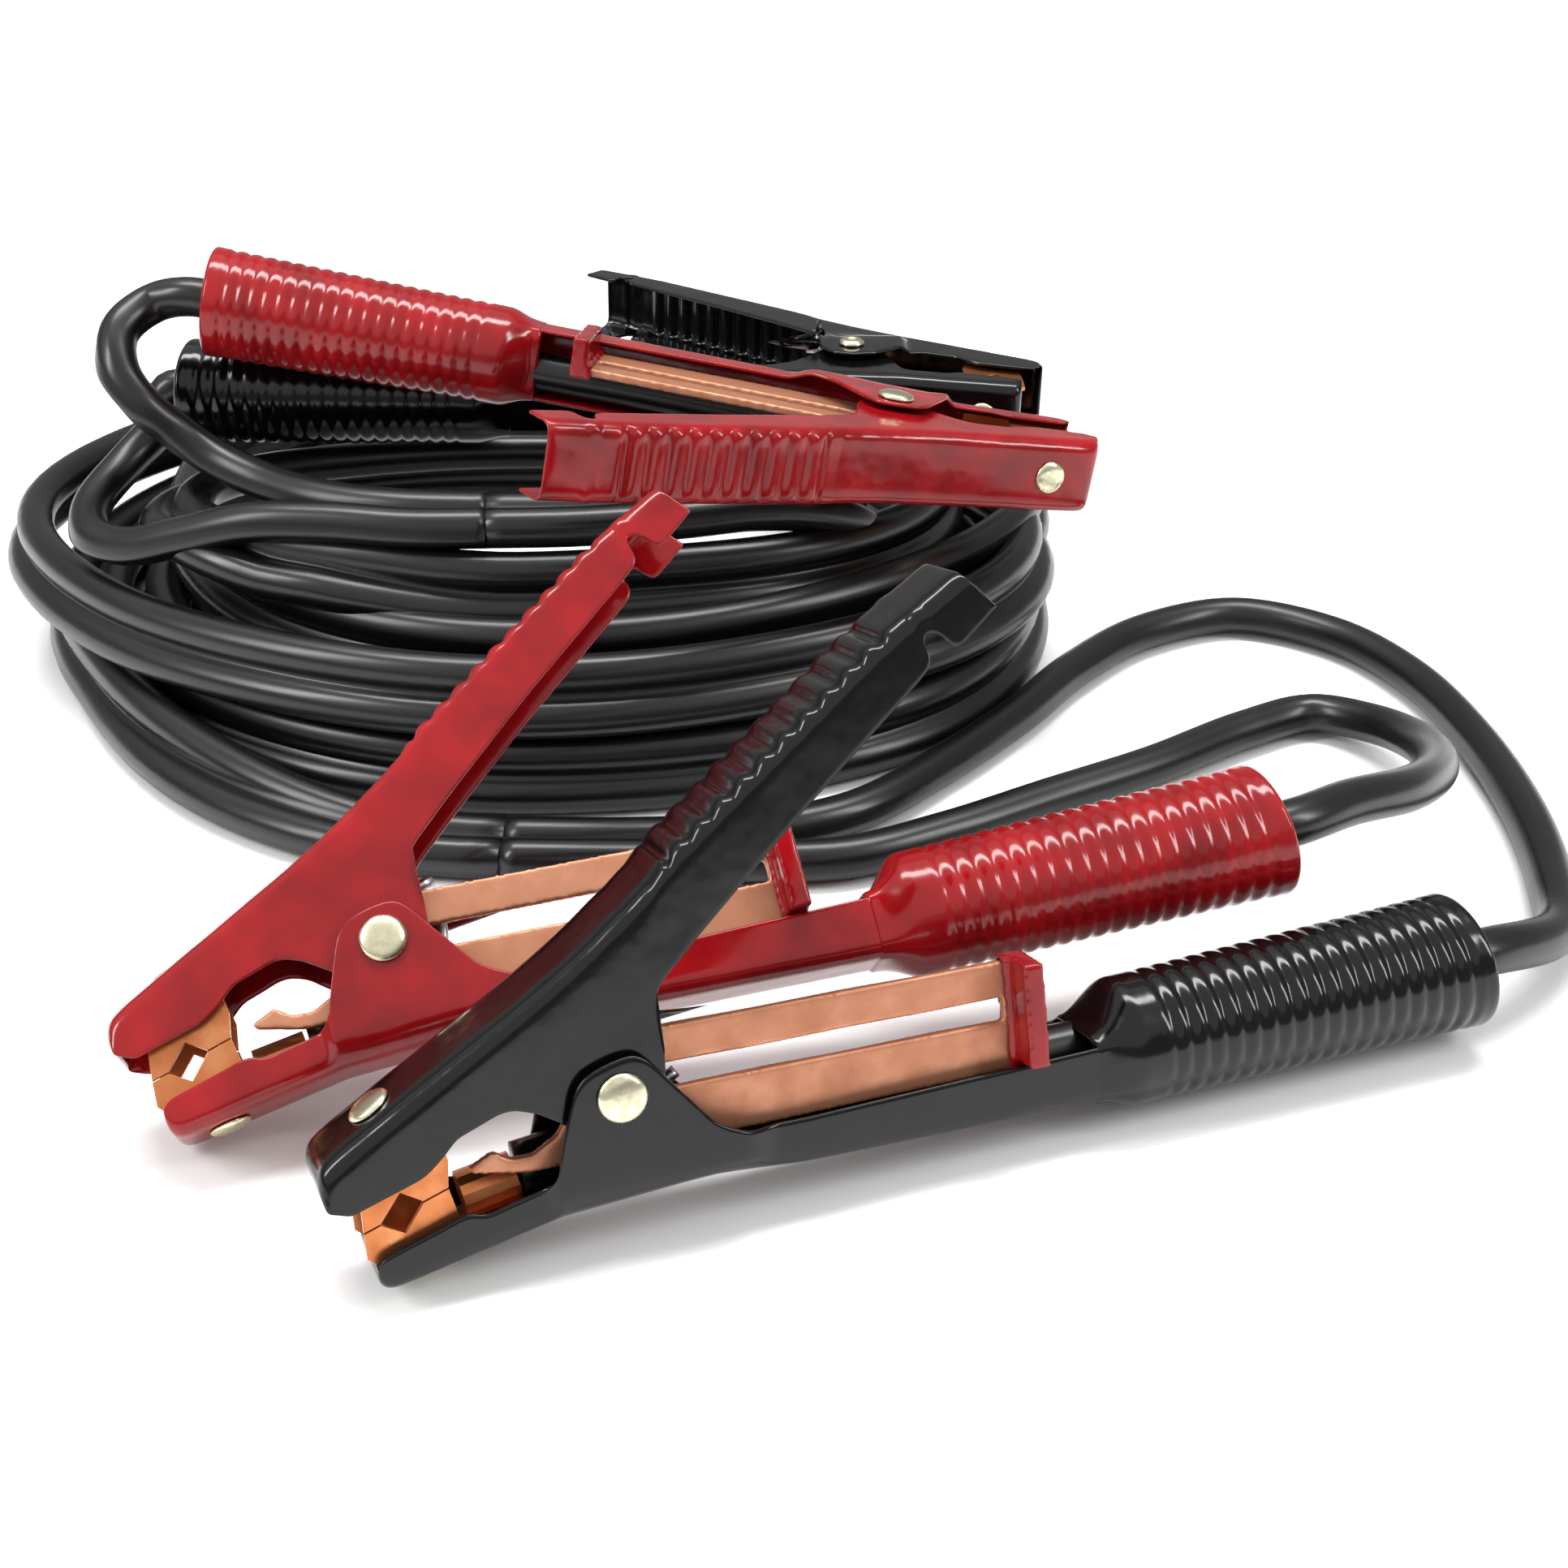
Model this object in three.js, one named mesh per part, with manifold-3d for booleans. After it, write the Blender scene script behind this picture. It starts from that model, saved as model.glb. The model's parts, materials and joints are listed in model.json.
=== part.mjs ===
// Booster cable set: a twin cable wound in a coil, split at both ends to four jaw clamps.
// Millimetres, +Z up. The clamps are drawn in a frame of their own: the origin is the pivot,
// +X runs along the cable lever to its grip, +Y points to the hand lever, and +Z is the side
// of the pivot's domed head.

import * as THREE from 'three';
import { mergeVertices } from 'three/addons/utils/BufferGeometryUtils.js';
import Module from 'manifold-3d';

const wasm = await Module();
wasm.setup();

// Fits
const GAP = 0.3;
const OVERCUT = 1;
// Far enough to clear a lever's whole side view
const WAY_OUT = 30;

// Sheet steel with its vinyl coat, and the width of a jaw
const SHEET = 2.0;
const JAW_HALF_WIDTH = 9.4;
const JAW_INNER = JAW_HALF_WIDTH - SHEET;
const EAR_INNER = JAW_HALF_WIDTH + GAP;
const EAR_OUTER = EAR_INNER + SHEET;

// Cable
const CABLE_DIAMETER = 10.2;
const CABLE_RADIUS = CABLE_DIAMETER / 2;
const CABLE_SIDES = 10;

// Lower (cable) lever: side view of the channel
const JAW_FRONT = -45.5;
const GRIP_START = 95;
const GRIP_END = 180;
const LOWER_TOP = [[JAW_FRONT, -20.2], [-28.5, -15.2], [-26.4, -16.8], [-15, -14.4], [-12.5, -12.4],
  [17, -11.4], [33, -12.9], [GRIP_START + 3, -13.2]];
const LOWER_BOTTOM = [[GRIP_START + 3, -25.2], [31, -22.2], [16.5, -20.4], [-12, -21.4], [-43.5, -27],
  [JAW_FRONT, -25.6]];
const NOSE_LIP = 1.6;
const EAR = [[-13.2, -12.6], [-11.7, -7.8], [-8.1, 3], [-6.2, 5.2], [-1, 6.8], [3.2, 7.3], [5.2, 6],
  [16.3, -8.9], [23, -12.6], [23, -19], [-12.4, -20]];
const SHOULDER_TOP = -13.1;

// Grip of the lower lever: a tube on the same axis as the cable
const AXIS_DROP = -16.8;
const GRIP_START_RADIUS = 12.6;
const GRIP_END_RADIUS = 14.2;
const GRIP_WALL = 2.2;
const GRIP_SIDES = 24;

// Upper (hand) lever: side view
const UPPER_EDGE = [[-52.2, -9.6], [-48.2, -11.1], [-35.2, -7.3], [-31.6, -4.6], [-29, -1.8],
  [-21, 1], [-18.5, 1], [-15, -0.4], [-10.4, -3.6], [-5.6, -7.2], [0, -8.6], [5.2, -7], [8.6, -2.2], [9.1, 4.4],
  [7.8, 11], [8.2, 16.6], [19, 26], [38.5, 42.7], [65.6, 64.4], [65.8, 66.6], [64, 69.6], [65, 71.1],
  [67.6, 70.9], [71, 66.8], [79.6, 73.6]];
const UPPER_BACK = [[77.6, 78.6], [72.5, 80.5], [55, 70.2], [14.5, 40.5], [7, 33], [-20, 16], [-48.8, 0],
  [-52, -2.2], [-53, -4]];
const UPPER_EAR = [[-14.2, -1.2], [-10.4, -3.6], [-5.6, -7.2], [0, -8.6], [5.2, -7], [8.6, -2.2], [9.1, 4.4],
  [7.8, 11], [8.2, 15], [4, 19.4], [-13, 17]];
const UPPER_SHOULDER_BOTTOM = 10.4;

// Pivot rivet
const PIVOT_RADIUS = 2.0;
const PIVOT_HEAD_RADIUS = 4.4;
const PIVOT_HEAD_HEIGHT = 1.7;
const PIVOT_TAIL_RADIUS = 3.5;
const PIVOT_TAIL_HEIGHT = 1.4;

// Torsion spring
const SPRING_WIRE_RADIUS = 1.2;
const SPRING_RADIUS = 8;
const SPRING_TURNS = 2;
const SPRING_STEPS_PER_TURN = 12;
const SPRING_SIDES = 6;
const SPRING_LEG = 33;
// Where the coil hangs from the pivot, and where its first leg leaves, in radians
const SPRING_HANG = 0.68;
const SPRING_LEG_TURN = 1.92;
const FIRST_LEG_DROP = 4;
const LAST_LEG_DROP = 2;
const SPRING_EXTRA_STEPS = 5;

// Copper contacts in the jaws
const COPPER = 1.0;
const CONTACT_HALF_WIDTH = JAW_INNER - GAP;
const CONTACT_FRONT = -46.6;
const CONTACT_REAR = -31.2;
const TOOTH_SLOPE = 0.3;
const TOOTH_LEVEL = -15.6;
const TOOTH_DEPTH = 3.6;
// A flat, a deep notch, a peak and a flat, as shares of the flange's length
const TOOTH_SHARES = [0, 0.2, 0.46, 0.7, 1];
const NOTCH_SHARE = 0.46;
const BARREL_FRONT = -28;
const BARREL_REAR = -18;
const BARREL_RADIUS = 4.6;
const BARREL_RISE = 1.5;
const BARREL_BORE = 3.2;
const LOWER_WEB_FRONT = -41;
const LOWER_FLANGE_REAR = CONTACT_REAR + 1.2;
const RIVET_RADIUS = 1.6;
const RIVET_HEAD_RADIUS = 4;
const RIVET_HEAD_HEIGHT = 1.5;
const LOWER_RIVET_AT = -35;
const UPPER_RIVET_AT = -41.5;

// Side terminal adapter: a slotted copper blade that slides on the pivot
const BLADE_SIDE = 4.0;
const BLADE_THICK = 2.0;
const SLOT_HALF_WIDTH = PIVOT_RADIUS + GAP;
const SLOT_FRONT = -3.2;
const SLOT_REAR = 75.5;
const BLADE_REAR = 80;
const BLADE_TOP = 9.3;
const BLADE_BOTTOM = -12.8;
const BLADE_TILT = -0.034;
const TAB_REACH = 13;
const TAB_COAT = 0.8;
const TAB_COVER = 4.5;

// Cable runs beside the blade, on the tail side of the trough
const CABLE_SIDE = -2.1;

// The coil: three rings of turns on each other, each an ellipse as deep as its share of its width
const COIL_GROUND = { x: -65, y: 108, outer: 142, inner: 96, bottom: 0, top: 21.5, depth: 1 };
const COIL_MIDDLE = { x: -68, y: 109, outer: 150, inner: 104, bottom: 20.5, top: 41.5, depth: 0.877 };
const COIL_UPPER = { x: -52, y: 104, outer: 111, inner: 72, bottom: 40.5, top: 55.8, depth: 1 };
const COIL_SIDES = 64;
const COIL_ROUND = 5;

const RED_VINYL = { color: 0xa31417, roughness: 0.28, metalness: 0 };
const BLACK_VINYL = { color: 0x101112, roughness: 0.3, metalness: 0 };
const CABLE_RUBBER = { color: 0x17181a, roughness: 0.42, metalness: 0 };
const COPPER_FINISH = { color: 0xb4673f, roughness: 0.45, metalness: 1 };
const ZINC = { color: 0xb9b48f, roughness: 0.3, metalness: 1 };
const SPRING_STEEL = { color: 0x9a9b9c, roughness: 0.3, metalness: 1 };

// Two clamps lie on the ground and two on top of the coil, each let down until it touches
const ON_COIL = COIL_UPPER.top + GAP;
const CLAMPS = [
  { name: 'front_black', coat: BLACK_VINYL, at: [-32, -171], yaw: 20.9, rise: 1, lean: 14, rest: 0 },
  { name: 'front_red', coat: RED_VINYL, at: [-77, -131], yaw: 15.6, rise: 6, lean: 44, rest: 0 },
  { name: 'back_red', coat: RED_VINYL, at: [26, 40], yaw: 174.3, rise: 9.2, lean: 84, rest: ON_COIL },
  { name: 'back_black', coat: BLACK_VINYL, at: [18.5, 107], yaw: 180, rise: 1.2, lean: -89, rest: ON_COIL },
];

// Routes of the four single leads on the ground or the coil, from the grip on. World millimetres.
const ROUTES = {
  front_black: [[166, -88, 9], [174, -60, 6], [178, -26, 5.3], [177, 14, 5.3], [170, 52, 5.3], [155, 80, 5.3],
    [130, 94, 5.3], [102, 82, 5.3], [79, 56, 5.3], [60.5, 26.5, 5.3], [39, -2, 5.3], [17, -26, 5.3], [-8, -37, 5.3],
    [-36, -39.8, 5.3], [-65, -39.2, 5.3]],
  front_red: [[120, -80, 36], [138, -62, 30], [152, -36, 22], [157, -8, 14], [152, 16, 8], [138, 28, 5.5],
    [118, 18, 5.3], [92, -2, 5.3], [64, -20, 5.3], [38, -37, 5.3], [14, -49, 5.3], [-10, -50.6, 5.3],
    [-36, -50.2, 5.3], [-65, -49.6, 5.3]],
  back_red: [[-165, 76, 101], [-172, 68, 96], [-171, 60, 88], [-165, 56, 80], [-158, 57, 73], [-150, 56, 67],
    [-136, 49, 62.6], [-117, 37, 61.4], [-96, 30, 61.4], [-74, 28, 61.4]],
  back_black: [[-170, 89, 65], [-178, 80, 57], [-184, 62, 50.5], [-180, 47, 48], [-168, 37, 48.6], [-152, 30, 54],
    [-133, 24, 60], [-113, 20, 61.6], [-92, 16.4, 61.4], [-73, 16.4, 61.4]],
};

function toSolid(geometry) {
  const bare = geometry.clone();
  bare.deleteAttribute('normal');
  bare.deleteAttribute('uv');
  const merged = mergeVertices(bare, 1e-4);
  const vertProperties = new Float32Array(merged.attributes.position.array);
  const triVerts = new Uint32Array(merged.index.array);
  return new wasm.Manifold(new wasm.Mesh({ numProp: 3, vertProperties, triVerts }));
}

function toMesh(name, solid, finish) {
  const raw = solid.getMesh();
  const geometry = new THREE.BufferGeometry();
  geometry.setAttribute('position', new THREE.BufferAttribute(new Float32Array(raw.vertProperties), 3));
  geometry.setIndex(new THREE.BufferAttribute(new Uint32Array(raw.triVerts), 1));
  geometry.computeVertexNormals();
  const mesh = new THREE.Mesh(geometry, new THREE.MeshStandardMaterial(finish));
  mesh.name = name;
  return mesh;
}

// A flat outline in side view, as thick as the span from one width to the other
function slab(outline, fromSide, toSide) {
  const shape = new THREE.Shape(outline.map(([x, y]) => new THREE.Vector2(x, y)));
  const geometry = new THREE.ExtrudeGeometry(shape, { depth: toSide - fromSide, bevelEnabled: false });
  return toSolid(geometry.translate(0, 0, fromSide));
}

// A turned piece on the line through a point, along a direction
function turned(profile, sides, at, along) {
  const lathe = new THREE.LatheGeometry(profile.map(([r, h]) => new THREE.Vector2(r, h)), sides);
  const turn = new THREE.Quaternion().setFromUnitVectors(new THREE.Vector3(0, 1, 0), along.clone().normalize());
  lathe.applyQuaternion(turn);
  return toSolid(lathe.translate(at.x, at.y, at.z));
}

function pin(radius, from, to, sides) {
  const along = to.clone().sub(from);
  const length = along.length();
  return turned([[0, 0], [radius, 0], [radius, length], [0, length]], sides, from, along);
}

function tube(points, radius, sides, steps) {
  const path = new THREE.CatmullRomCurve3(points, false, 'centripetal');
  const section = new THREE.Shape();
  for (let i = 0; i < sides; i += 1) {
    const angle = (2 * Math.PI * i) / sides;
    const x = radius * Math.cos(angle);
    const y = radius * Math.sin(angle);
    if (i === 0) section.moveTo(x, y);
    else section.lineTo(x, y);
  }
  section.closePath();
  return toSolid(new THREE.ExtrudeGeometry(section, { steps, bevelEnabled: false, extrudePath: path }));
}

const SIDEWAYS = new THREE.Vector3(0, 0, 1);

// A line moved sideways to its left by the same distance at each of its stretches
function inset(line, by) {
  return line.map(([x, y], i) => {
    const before = line[Math.max(i - 1, 0)];
    const after = line[Math.min(i + 1, line.length - 1)];
    const inward = new THREE.Vector2(x - before[0], y - before[1]).normalize();
    const onward = new THREE.Vector2(after[0] - x, after[1] - y).normalize();
    const along = inward.clone().add(onward).normalize();
    const full = inward.lengthSq() > 0 ? inward : onward;
    const reach = by / Math.max(along.dot(full), 0.5);
    return [x - along.y * reach, y + along.x * reach];
  });
}

// The outline's point where a line of the side view is met at a given x
function heightOn(line, x) {
  const sorted = [...line].sort((a, b) => a[0] - b[0]);
  const after = sorted.findIndex(([px]) => px >= x);
  const [x0, y0] = sorted[after - 1];
  const [x1, y1] = sorted[after];
  return y0 + ((y1 - y0) * (x - x0)) / (x1 - x0);
}

const UPPER_JAW_BACK = UPPER_BACK.slice(5, 7);
function lineTilt(line) {
  const [x0, y0] = line[0];
  const [x1, y1] = line[line.length - 1];
  return Math.atan((y1 - y0) / (x1 - x0));
}

const LOWER_WEB = LOWER_BOTTOM.slice(0, 5);
const LOWER_JAW_TILT = lineTilt(LOWER_WEB.slice(3));
const UPPER_JAW_TILT = lineTilt(UPPER_JAW_BACK);

const lowerRivetAxis = new THREE.Vector3(Math.sin(LOWER_JAW_TILT), -Math.cos(LOWER_JAW_TILT), 0);
const upperRivetAxis = new THREE.Vector3(-Math.sin(UPPER_JAW_TILT), Math.cos(UPPER_JAW_TILT), 0);
const lowerRivetSeat = new THREE.Vector3(LOWER_RIVET_AT, heightOn(LOWER_WEB, LOWER_RIVET_AT), 0);
const upperRivetSeat = new THREE.Vector3(UPPER_RIVET_AT, heightOn(UPPER_JAW_BACK, UPPER_RIVET_AT), 0);

function pivotBore() {
  const reach = EAR_OUTER + OVERCUT;
  const from = new THREE.Vector3(0, 0, -reach);
  return pin(PIVOT_RADIUS + GAP / 2, from, new THREE.Vector3(0, 0, reach), 16);
}

function rivetBore(seat, axis) {
  const out = seat.clone().addScaledVector(axis, OVERCUT);
  const inn = seat.clone().addScaledVector(axis, -(SHEET + COPPER + 2 * OVERCUT));
  return pin(RIVET_RADIUS + GAP / 2, inn, out, 12);
}

function gripTube() {
  const length = GRIP_END - GRIP_START;
  const profile = [
    [GRIP_START_RADIUS - GRIP_WALL, 0], [GRIP_START_RADIUS, 0], [GRIP_START_RADIUS, 4],
    [GRIP_END_RADIUS, length - 1.2], [GRIP_END_RADIUS - 1.2, length], [GRIP_END_RADIUS - GRIP_WALL, length],
    [GRIP_START_RADIUS - GRIP_WALL, 0],
  ];
  const at = new THREE.Vector3(GRIP_START, AXIS_DROP, 0);
  return turned(profile, GRIP_SIDES, at, new THREE.Vector3(1, 0, 0));
}

function gripBore() {
  const long = GRIP_END - GRIP_START + 8;
  const profile = [[0, -8], [GRIP_START_RADIUS - GRIP_WALL, -8], [GRIP_START_RADIUS - GRIP_WALL, 0],
    [GRIP_END_RADIUS - GRIP_WALL, GRIP_END - GRIP_START], [GRIP_END_RADIUS - GRIP_WALL, long], [0, long]];
  return turned(profile, GRIP_SIDES, new THREE.Vector3(GRIP_START, AXIS_DROP, 0), new THREE.Vector3(1, 0, 0));
}

function lowerLever() {
  const channel = slab([...LOWER_TOP, ...LOWER_BOTTOM], -JAW_HALF_WIDTH, JAW_HALF_WIDTH);
  const floor = LOWER_BOTTOM.map(([x, y]) => [x, y + SHEET]);
  floor[floor.length - 2][0] += NOSE_LIP;
  floor[floor.length - 1] = [JAW_FRONT - OVERCUT, LOWER_BOTTOM[5][1] + SHEET + NOSE_LIP];
  const cavity = slab([[JAW_FRONT - OVERCUT, WAY_OUT], [GRIP_START + 3 + OVERCUT, WAY_OUT],
    [GRIP_START + 3 + OVERCUT, floor[0][1]], ...floor], -JAW_INNER, JAW_INNER);
  const earSpan = [[-13.6, SHOULDER_TOP], [23.4, SHOULDER_TOP], [23.4, 20], [-13.6, 20]];
  const wallAway = slab(earSpan, JAW_INNER - OVERCUT, JAW_HALF_WIDTH + OVERCUT);
  const headEar = slab(EAR, EAR_INNER, EAR_OUTER);
  const tailEar = slab(EAR, -JAW_HALF_WIDTH, -JAW_INNER);
  const shoulder = slab([[-12.9, SHOULDER_TOP - 0.2], [23, SHOULDER_TOP - 0.2], [23, -19], [-12.4, -20]],
    JAW_INNER, EAR_OUTER);
  return channel.subtract(cavity).subtract(wallAway).add(headEar).add(tailEar).add(shoulder)
    .subtract(gripBore()).add(gripTube()).subtract(pivotBore())
    .subtract(rivetBore(lowerRivetSeat, lowerRivetAxis));
}

function upperLever() {
  const body = slab([...UPPER_EDGE, ...UPPER_BACK], -JAW_HALF_WIDTH, JAW_HALF_WIDTH);
  const under = inset(UPPER_BACK, SHEET);
  const slope = Math.tan(lineTilt(UPPER_BACK.slice(1, 3)));
  const rearward = [under[0][0] + WAY_OUT, under[0][1] + WAY_OUT * slope];
  const noseBottom = [under[under.length - 1][0], -WAY_OUT];
  const cavity = slab([rearward, ...under.slice(1), noseBottom, [rearward[0], -WAY_OUT]], -JAW_INNER, JAW_INNER);
  const tailWallAway = slab([[-14.6, -12], [24, -12], [24, UPPER_SHOULDER_BOTTOM], [-14.6, UPPER_SHOULDER_BOTTOM]],
    -JAW_HALF_WIDTH - OVERCUT, -JAW_INNER + OVERCUT);
  const tailEar = slab(UPPER_EAR, -EAR_OUTER, -EAR_INNER);
  const shoulder = slab([[-13.4, UPPER_SHOULDER_BOTTOM], [7.9, UPPER_SHOULDER_BOTTOM], [8.2, 15], [4, 19.4],
    [-13, 17]], -EAR_OUTER, -JAW_INNER);
  return body.subtract(cavity).subtract(tailWallAway).add(tailEar).add(shoulder).subtract(pivotBore())
    .subtract(rivetBore(upperRivetSeat, upperRivetAxis));
}

function pivotRivet() {
  const headSide = EAR_OUTER + GAP / 2;
  const profile = [
    [0, -headSide - PIVOT_TAIL_HEIGHT + 0.5], [1.2, -headSide - PIVOT_TAIL_HEIGHT + 0.5],
    [2.2, -headSide - PIVOT_TAIL_HEIGHT], [PIVOT_TAIL_RADIUS, -headSide - 0.5], [PIVOT_TAIL_RADIUS, -headSide],
    [PIVOT_RADIUS, -headSide], [PIVOT_RADIUS, headSide], [PIVOT_HEAD_RADIUS, headSide],
    [PIVOT_HEAD_RADIUS - 0.4, headSide + 0.8], [PIVOT_HEAD_RADIUS - 2, headSide + PIVOT_HEAD_HEIGHT - 0.2],
    [0, headSide + PIVOT_HEAD_HEIGHT],
  ];
  return turned(profile, 20, new THREE.Vector3(0, 0, 0), SIDEWAYS);
}

function spring() {
  const clear = SPRING_RADIUS - SPRING_WIRE_RADIUS - PIVOT_RADIUS - GAP;
  const centre = new THREE.Vector2(clear * Math.cos(SPRING_HANG), clear * Math.sin(SPRING_HANG));
  const start = -JAW_INNER + GAP + SPRING_WIRE_RADIUS;
  const pitch = 2 * SPRING_WIRE_RADIUS + 0.1;
  const first = SPRING_LEG_TURN;
  const points = [];
  points.push(new THREE.Vector3(centre.x + SPRING_RADIUS * Math.cos(first) + SPRING_LEG * Math.sin(first),
    centre.y + SPRING_RADIUS * Math.sin(first) - SPRING_LEG * Math.cos(first) - FIRST_LEG_DROP, start));
  const count = SPRING_TURNS * SPRING_STEPS_PER_TURN + SPRING_EXTRA_STEPS;
  for (let i = 0; i <= count; i += 1) {
    const angle = first + (2 * Math.PI * i) / SPRING_STEPS_PER_TURN;
    points.push(new THREE.Vector3(centre.x + SPRING_RADIUS * Math.cos(angle),
      centre.y + SPRING_RADIUS * Math.sin(angle), start + (pitch * i) / SPRING_STEPS_PER_TURN));
  }
  const last = points[points.length - 1];
  points.push(new THREE.Vector3(last.x + SPRING_LEG, last.y - LAST_LEG_DROP, last.z));
  return tube(points, SPRING_WIRE_RADIUS, SPRING_SIDES, 2 * points.length);
}

function toothLine(x) {
  return TOOTH_LEVEL + TOOTH_SLOPE * (x - CONTACT_FRONT);
}

// The meeting edge of a contact's flanges, front to rear
function toothEdge(side) {
  return TOOTH_SHARES.map((share) => {
    const x = CONTACT_FRONT + (CONTACT_REAR - CONTACT_FRONT) * share;
    return [x, toothLine(x) + side * (GAP / 2 + (share === NOTCH_SHARE ? TOOTH_DEPTH : 0))];
  });
}

function lowerContact() {
  const webTop = (x) => heightOn(LOWER_WEB, x) + SHEET + GAP;
  const flange = [...toothEdge(-1), [LOWER_FLANGE_REAR, -17], [LOWER_FLANGE_REAR, webTop(LOWER_FLANGE_REAR)],
    [LOWER_WEB_FRONT, webTop(LOWER_WEB_FRONT)], [-43.4, webTop(LOWER_WEB_FRONT) + 1], [CONTACT_FRONT, -20.4]];
  const near = slab(flange, CONTACT_HALF_WIDTH - COPPER, CONTACT_HALF_WIDTH);
  const far = slab(flange, -CONTACT_HALF_WIDTH, -CONTACT_HALF_WIDTH + COPPER);
  const web = slab([[LOWER_WEB_FRONT, webTop(LOWER_WEB_FRONT)], [BARREL_REAR, webTop(BARREL_REAR)],
    [BARREL_REAR, webTop(BARREL_REAR) + COPPER], [LOWER_WEB_FRONT, webTop(LOWER_WEB_FRONT) + COPPER]],
  -CONTACT_HALF_WIDTH, CONTACT_HALF_WIDTH);
  const low = webTop(BARREL_FRONT) + BARREL_RADIUS / Math.cos(LOWER_JAW_TILT) + GAP;
  const barrelAt = (x) => new THREE.Vector3(x, low + (BARREL_RISE * (x - BARREL_FRONT)) / (BARREL_REAR - BARREL_FRONT),
    CABLE_SIDE);
  const barrel = pin(BARREL_RADIUS, barrelAt(BARREL_FRONT), barrelAt(BARREL_REAR), 16);
  const bore = pin(BARREL_BORE, barrelAt(BARREL_FRONT + 2), barrelAt(BARREL_REAR + OVERCUT), 16);
  return near.add(far).add(web).add(barrel).subtract(bore).subtract(rivetBore(lowerRivetSeat, lowerRivetAxis));
}

function upperContact() {
  const webUnder = (x) => heightOn(UPPER_JAW_BACK, x) - SHEET / Math.cos(UPPER_JAW_TILT) - GAP;
  const front = CONTACT_FRONT + 0.6;
  const rear = CONTACT_REAR - 2;
  const flange = [...toothEdge(1), [CONTACT_REAR + 0.6, -6], [rear, webUnder(rear)], [front, webUnder(front)]];
  const near = slab(flange, CONTACT_HALF_WIDTH - COPPER, CONTACT_HALF_WIDTH);
  const far = slab(flange, -CONTACT_HALF_WIDTH, -CONTACT_HALF_WIDTH + COPPER);
  const web = slab([[front, webUnder(front)], [front, webUnder(front) - 1.2 * COPPER], [rear, webUnder(rear) - 1.2 * COPPER],
    [rear, webUnder(rear)]], -CONTACT_HALF_WIDTH, CONTACT_HALF_WIDTH);
  return near.add(far).add(web).subtract(rivetBore(upperRivetSeat, upperRivetAxis));
}

// Domed head outside, shank through lever and contact, small closed end inside
function contactRivet(seat, axis) {
  const through = -(SHEET + COPPER + 3 * GAP);
  const profile = [[0, through - 0.9], [RIVET_RADIUS + 0.9, through - 0.6], [RIVET_RADIUS + 0.9, through],
    [RIVET_RADIUS, through], [RIVET_RADIUS, GAP / 2], [RIVET_HEAD_RADIUS, GAP / 2],
    [RIVET_HEAD_RADIUS - 0.5, 0.8], [RIVET_HEAD_RADIUS - 2, RIVET_HEAD_HEIGHT - 0.1], [0, RIVET_HEAD_HEIGHT]];
  return turned(profile, 16, seat, axis);
}

function bladeTilt(outline) {
  return outline.map(([x, y]) => [x, y + BLADE_TILT * x]);
}

function adapterBlade() {
  const outline = bladeTilt([[-27, -10], [-22.6, -7.8], [-19.4, -9.8], [-15.6, -9.8], [-11, -7.2], [-7.4, -2],
    [-5.6, 3], [1, 8], [8, BLADE_TOP], [BLADE_REAR, BLADE_TOP], [BLADE_REAR, BLADE_BOTTOM + 0.6],
    [10, BLADE_BOTTOM], [-17.4, BLADE_BOTTOM], [-26.4, -11]]);
  const slot = bladeTilt([[SLOT_FRONT, -SLOT_HALF_WIDTH], [SLOT_REAR, -SLOT_HALF_WIDTH],
    [SLOT_REAR, SLOT_HALF_WIDTH], [SLOT_FRONT, SLOT_HALF_WIDTH]]);
  const blade = slab(outline, BLADE_SIDE, BLADE_SIDE + BLADE_THICK);
  const bent = slab(bladeTilt(tabOutline(0)), BLADE_SIDE, TAB_REACH - TAB_COAT);
  return blade.subtract(slab(slot, BLADE_SIDE - OVERCUT, BLADE_SIDE + BLADE_THICK + OVERCUT)).add(bent);
}

// The end that is bent out sideways, in side view, grown by the coat
function tabOutline(grow) {
  const low = heightOn(LOWER_TOP, BLADE_REAR) + 2 * GAP + TAB_COAT - BLADE_TILT * BLADE_REAR;
  return [[BLADE_REAR - BLADE_THICK - grow, low - grow], [BLADE_REAR + grow, low - grow],
    [BLADE_REAR + grow, BLADE_TOP + grow], [BLADE_REAR - BLADE_THICK - grow, BLADE_TOP + grow]];
}

function adapterTab() {
  const inside = GAP;
  const coat = TAB_COAT + inside;
  const cover = [[BLADE_REAR - TAB_COVER, BLADE_BOTTOM - TAB_COAT], [BLADE_REAR + coat, BLADE_BOTTOM - TAB_COAT],
    [BLADE_REAR + coat, BLADE_TOP + coat], [BLADE_REAR - TAB_COVER, BLADE_TOP + coat]];
  const sleeve = slab(bladeTilt(cover), BLADE_SIDE - TAB_COAT, BLADE_SIDE + BLADE_THICK + coat);
  const finger = slab(bladeTilt(tabOutline(coat)), BLADE_SIDE, TAB_REACH + inside);
  const room = [[BLADE_REAR - TAB_COVER - OVERCUT, BLADE_BOTTOM - inside + 0.4],
    [BLADE_REAR + inside, BLADE_BOTTOM - inside + 0.4], [BLADE_REAR + inside, BLADE_TOP + inside],
    [BLADE_REAR - TAB_COVER - OVERCUT, BLADE_TOP + inside]];
  const bladeRoom = slab(bladeTilt(room), BLADE_SIDE - inside, BLADE_SIDE + BLADE_THICK + inside);
  const fingerRoom = slab(bladeTilt(tabOutline(inside)), BLADE_SIDE - inside, TAB_REACH - TAB_COAT + inside);
  return sleeve.add(finger).subtract(bladeRoom).subtract(fingerRoom);
}

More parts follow.
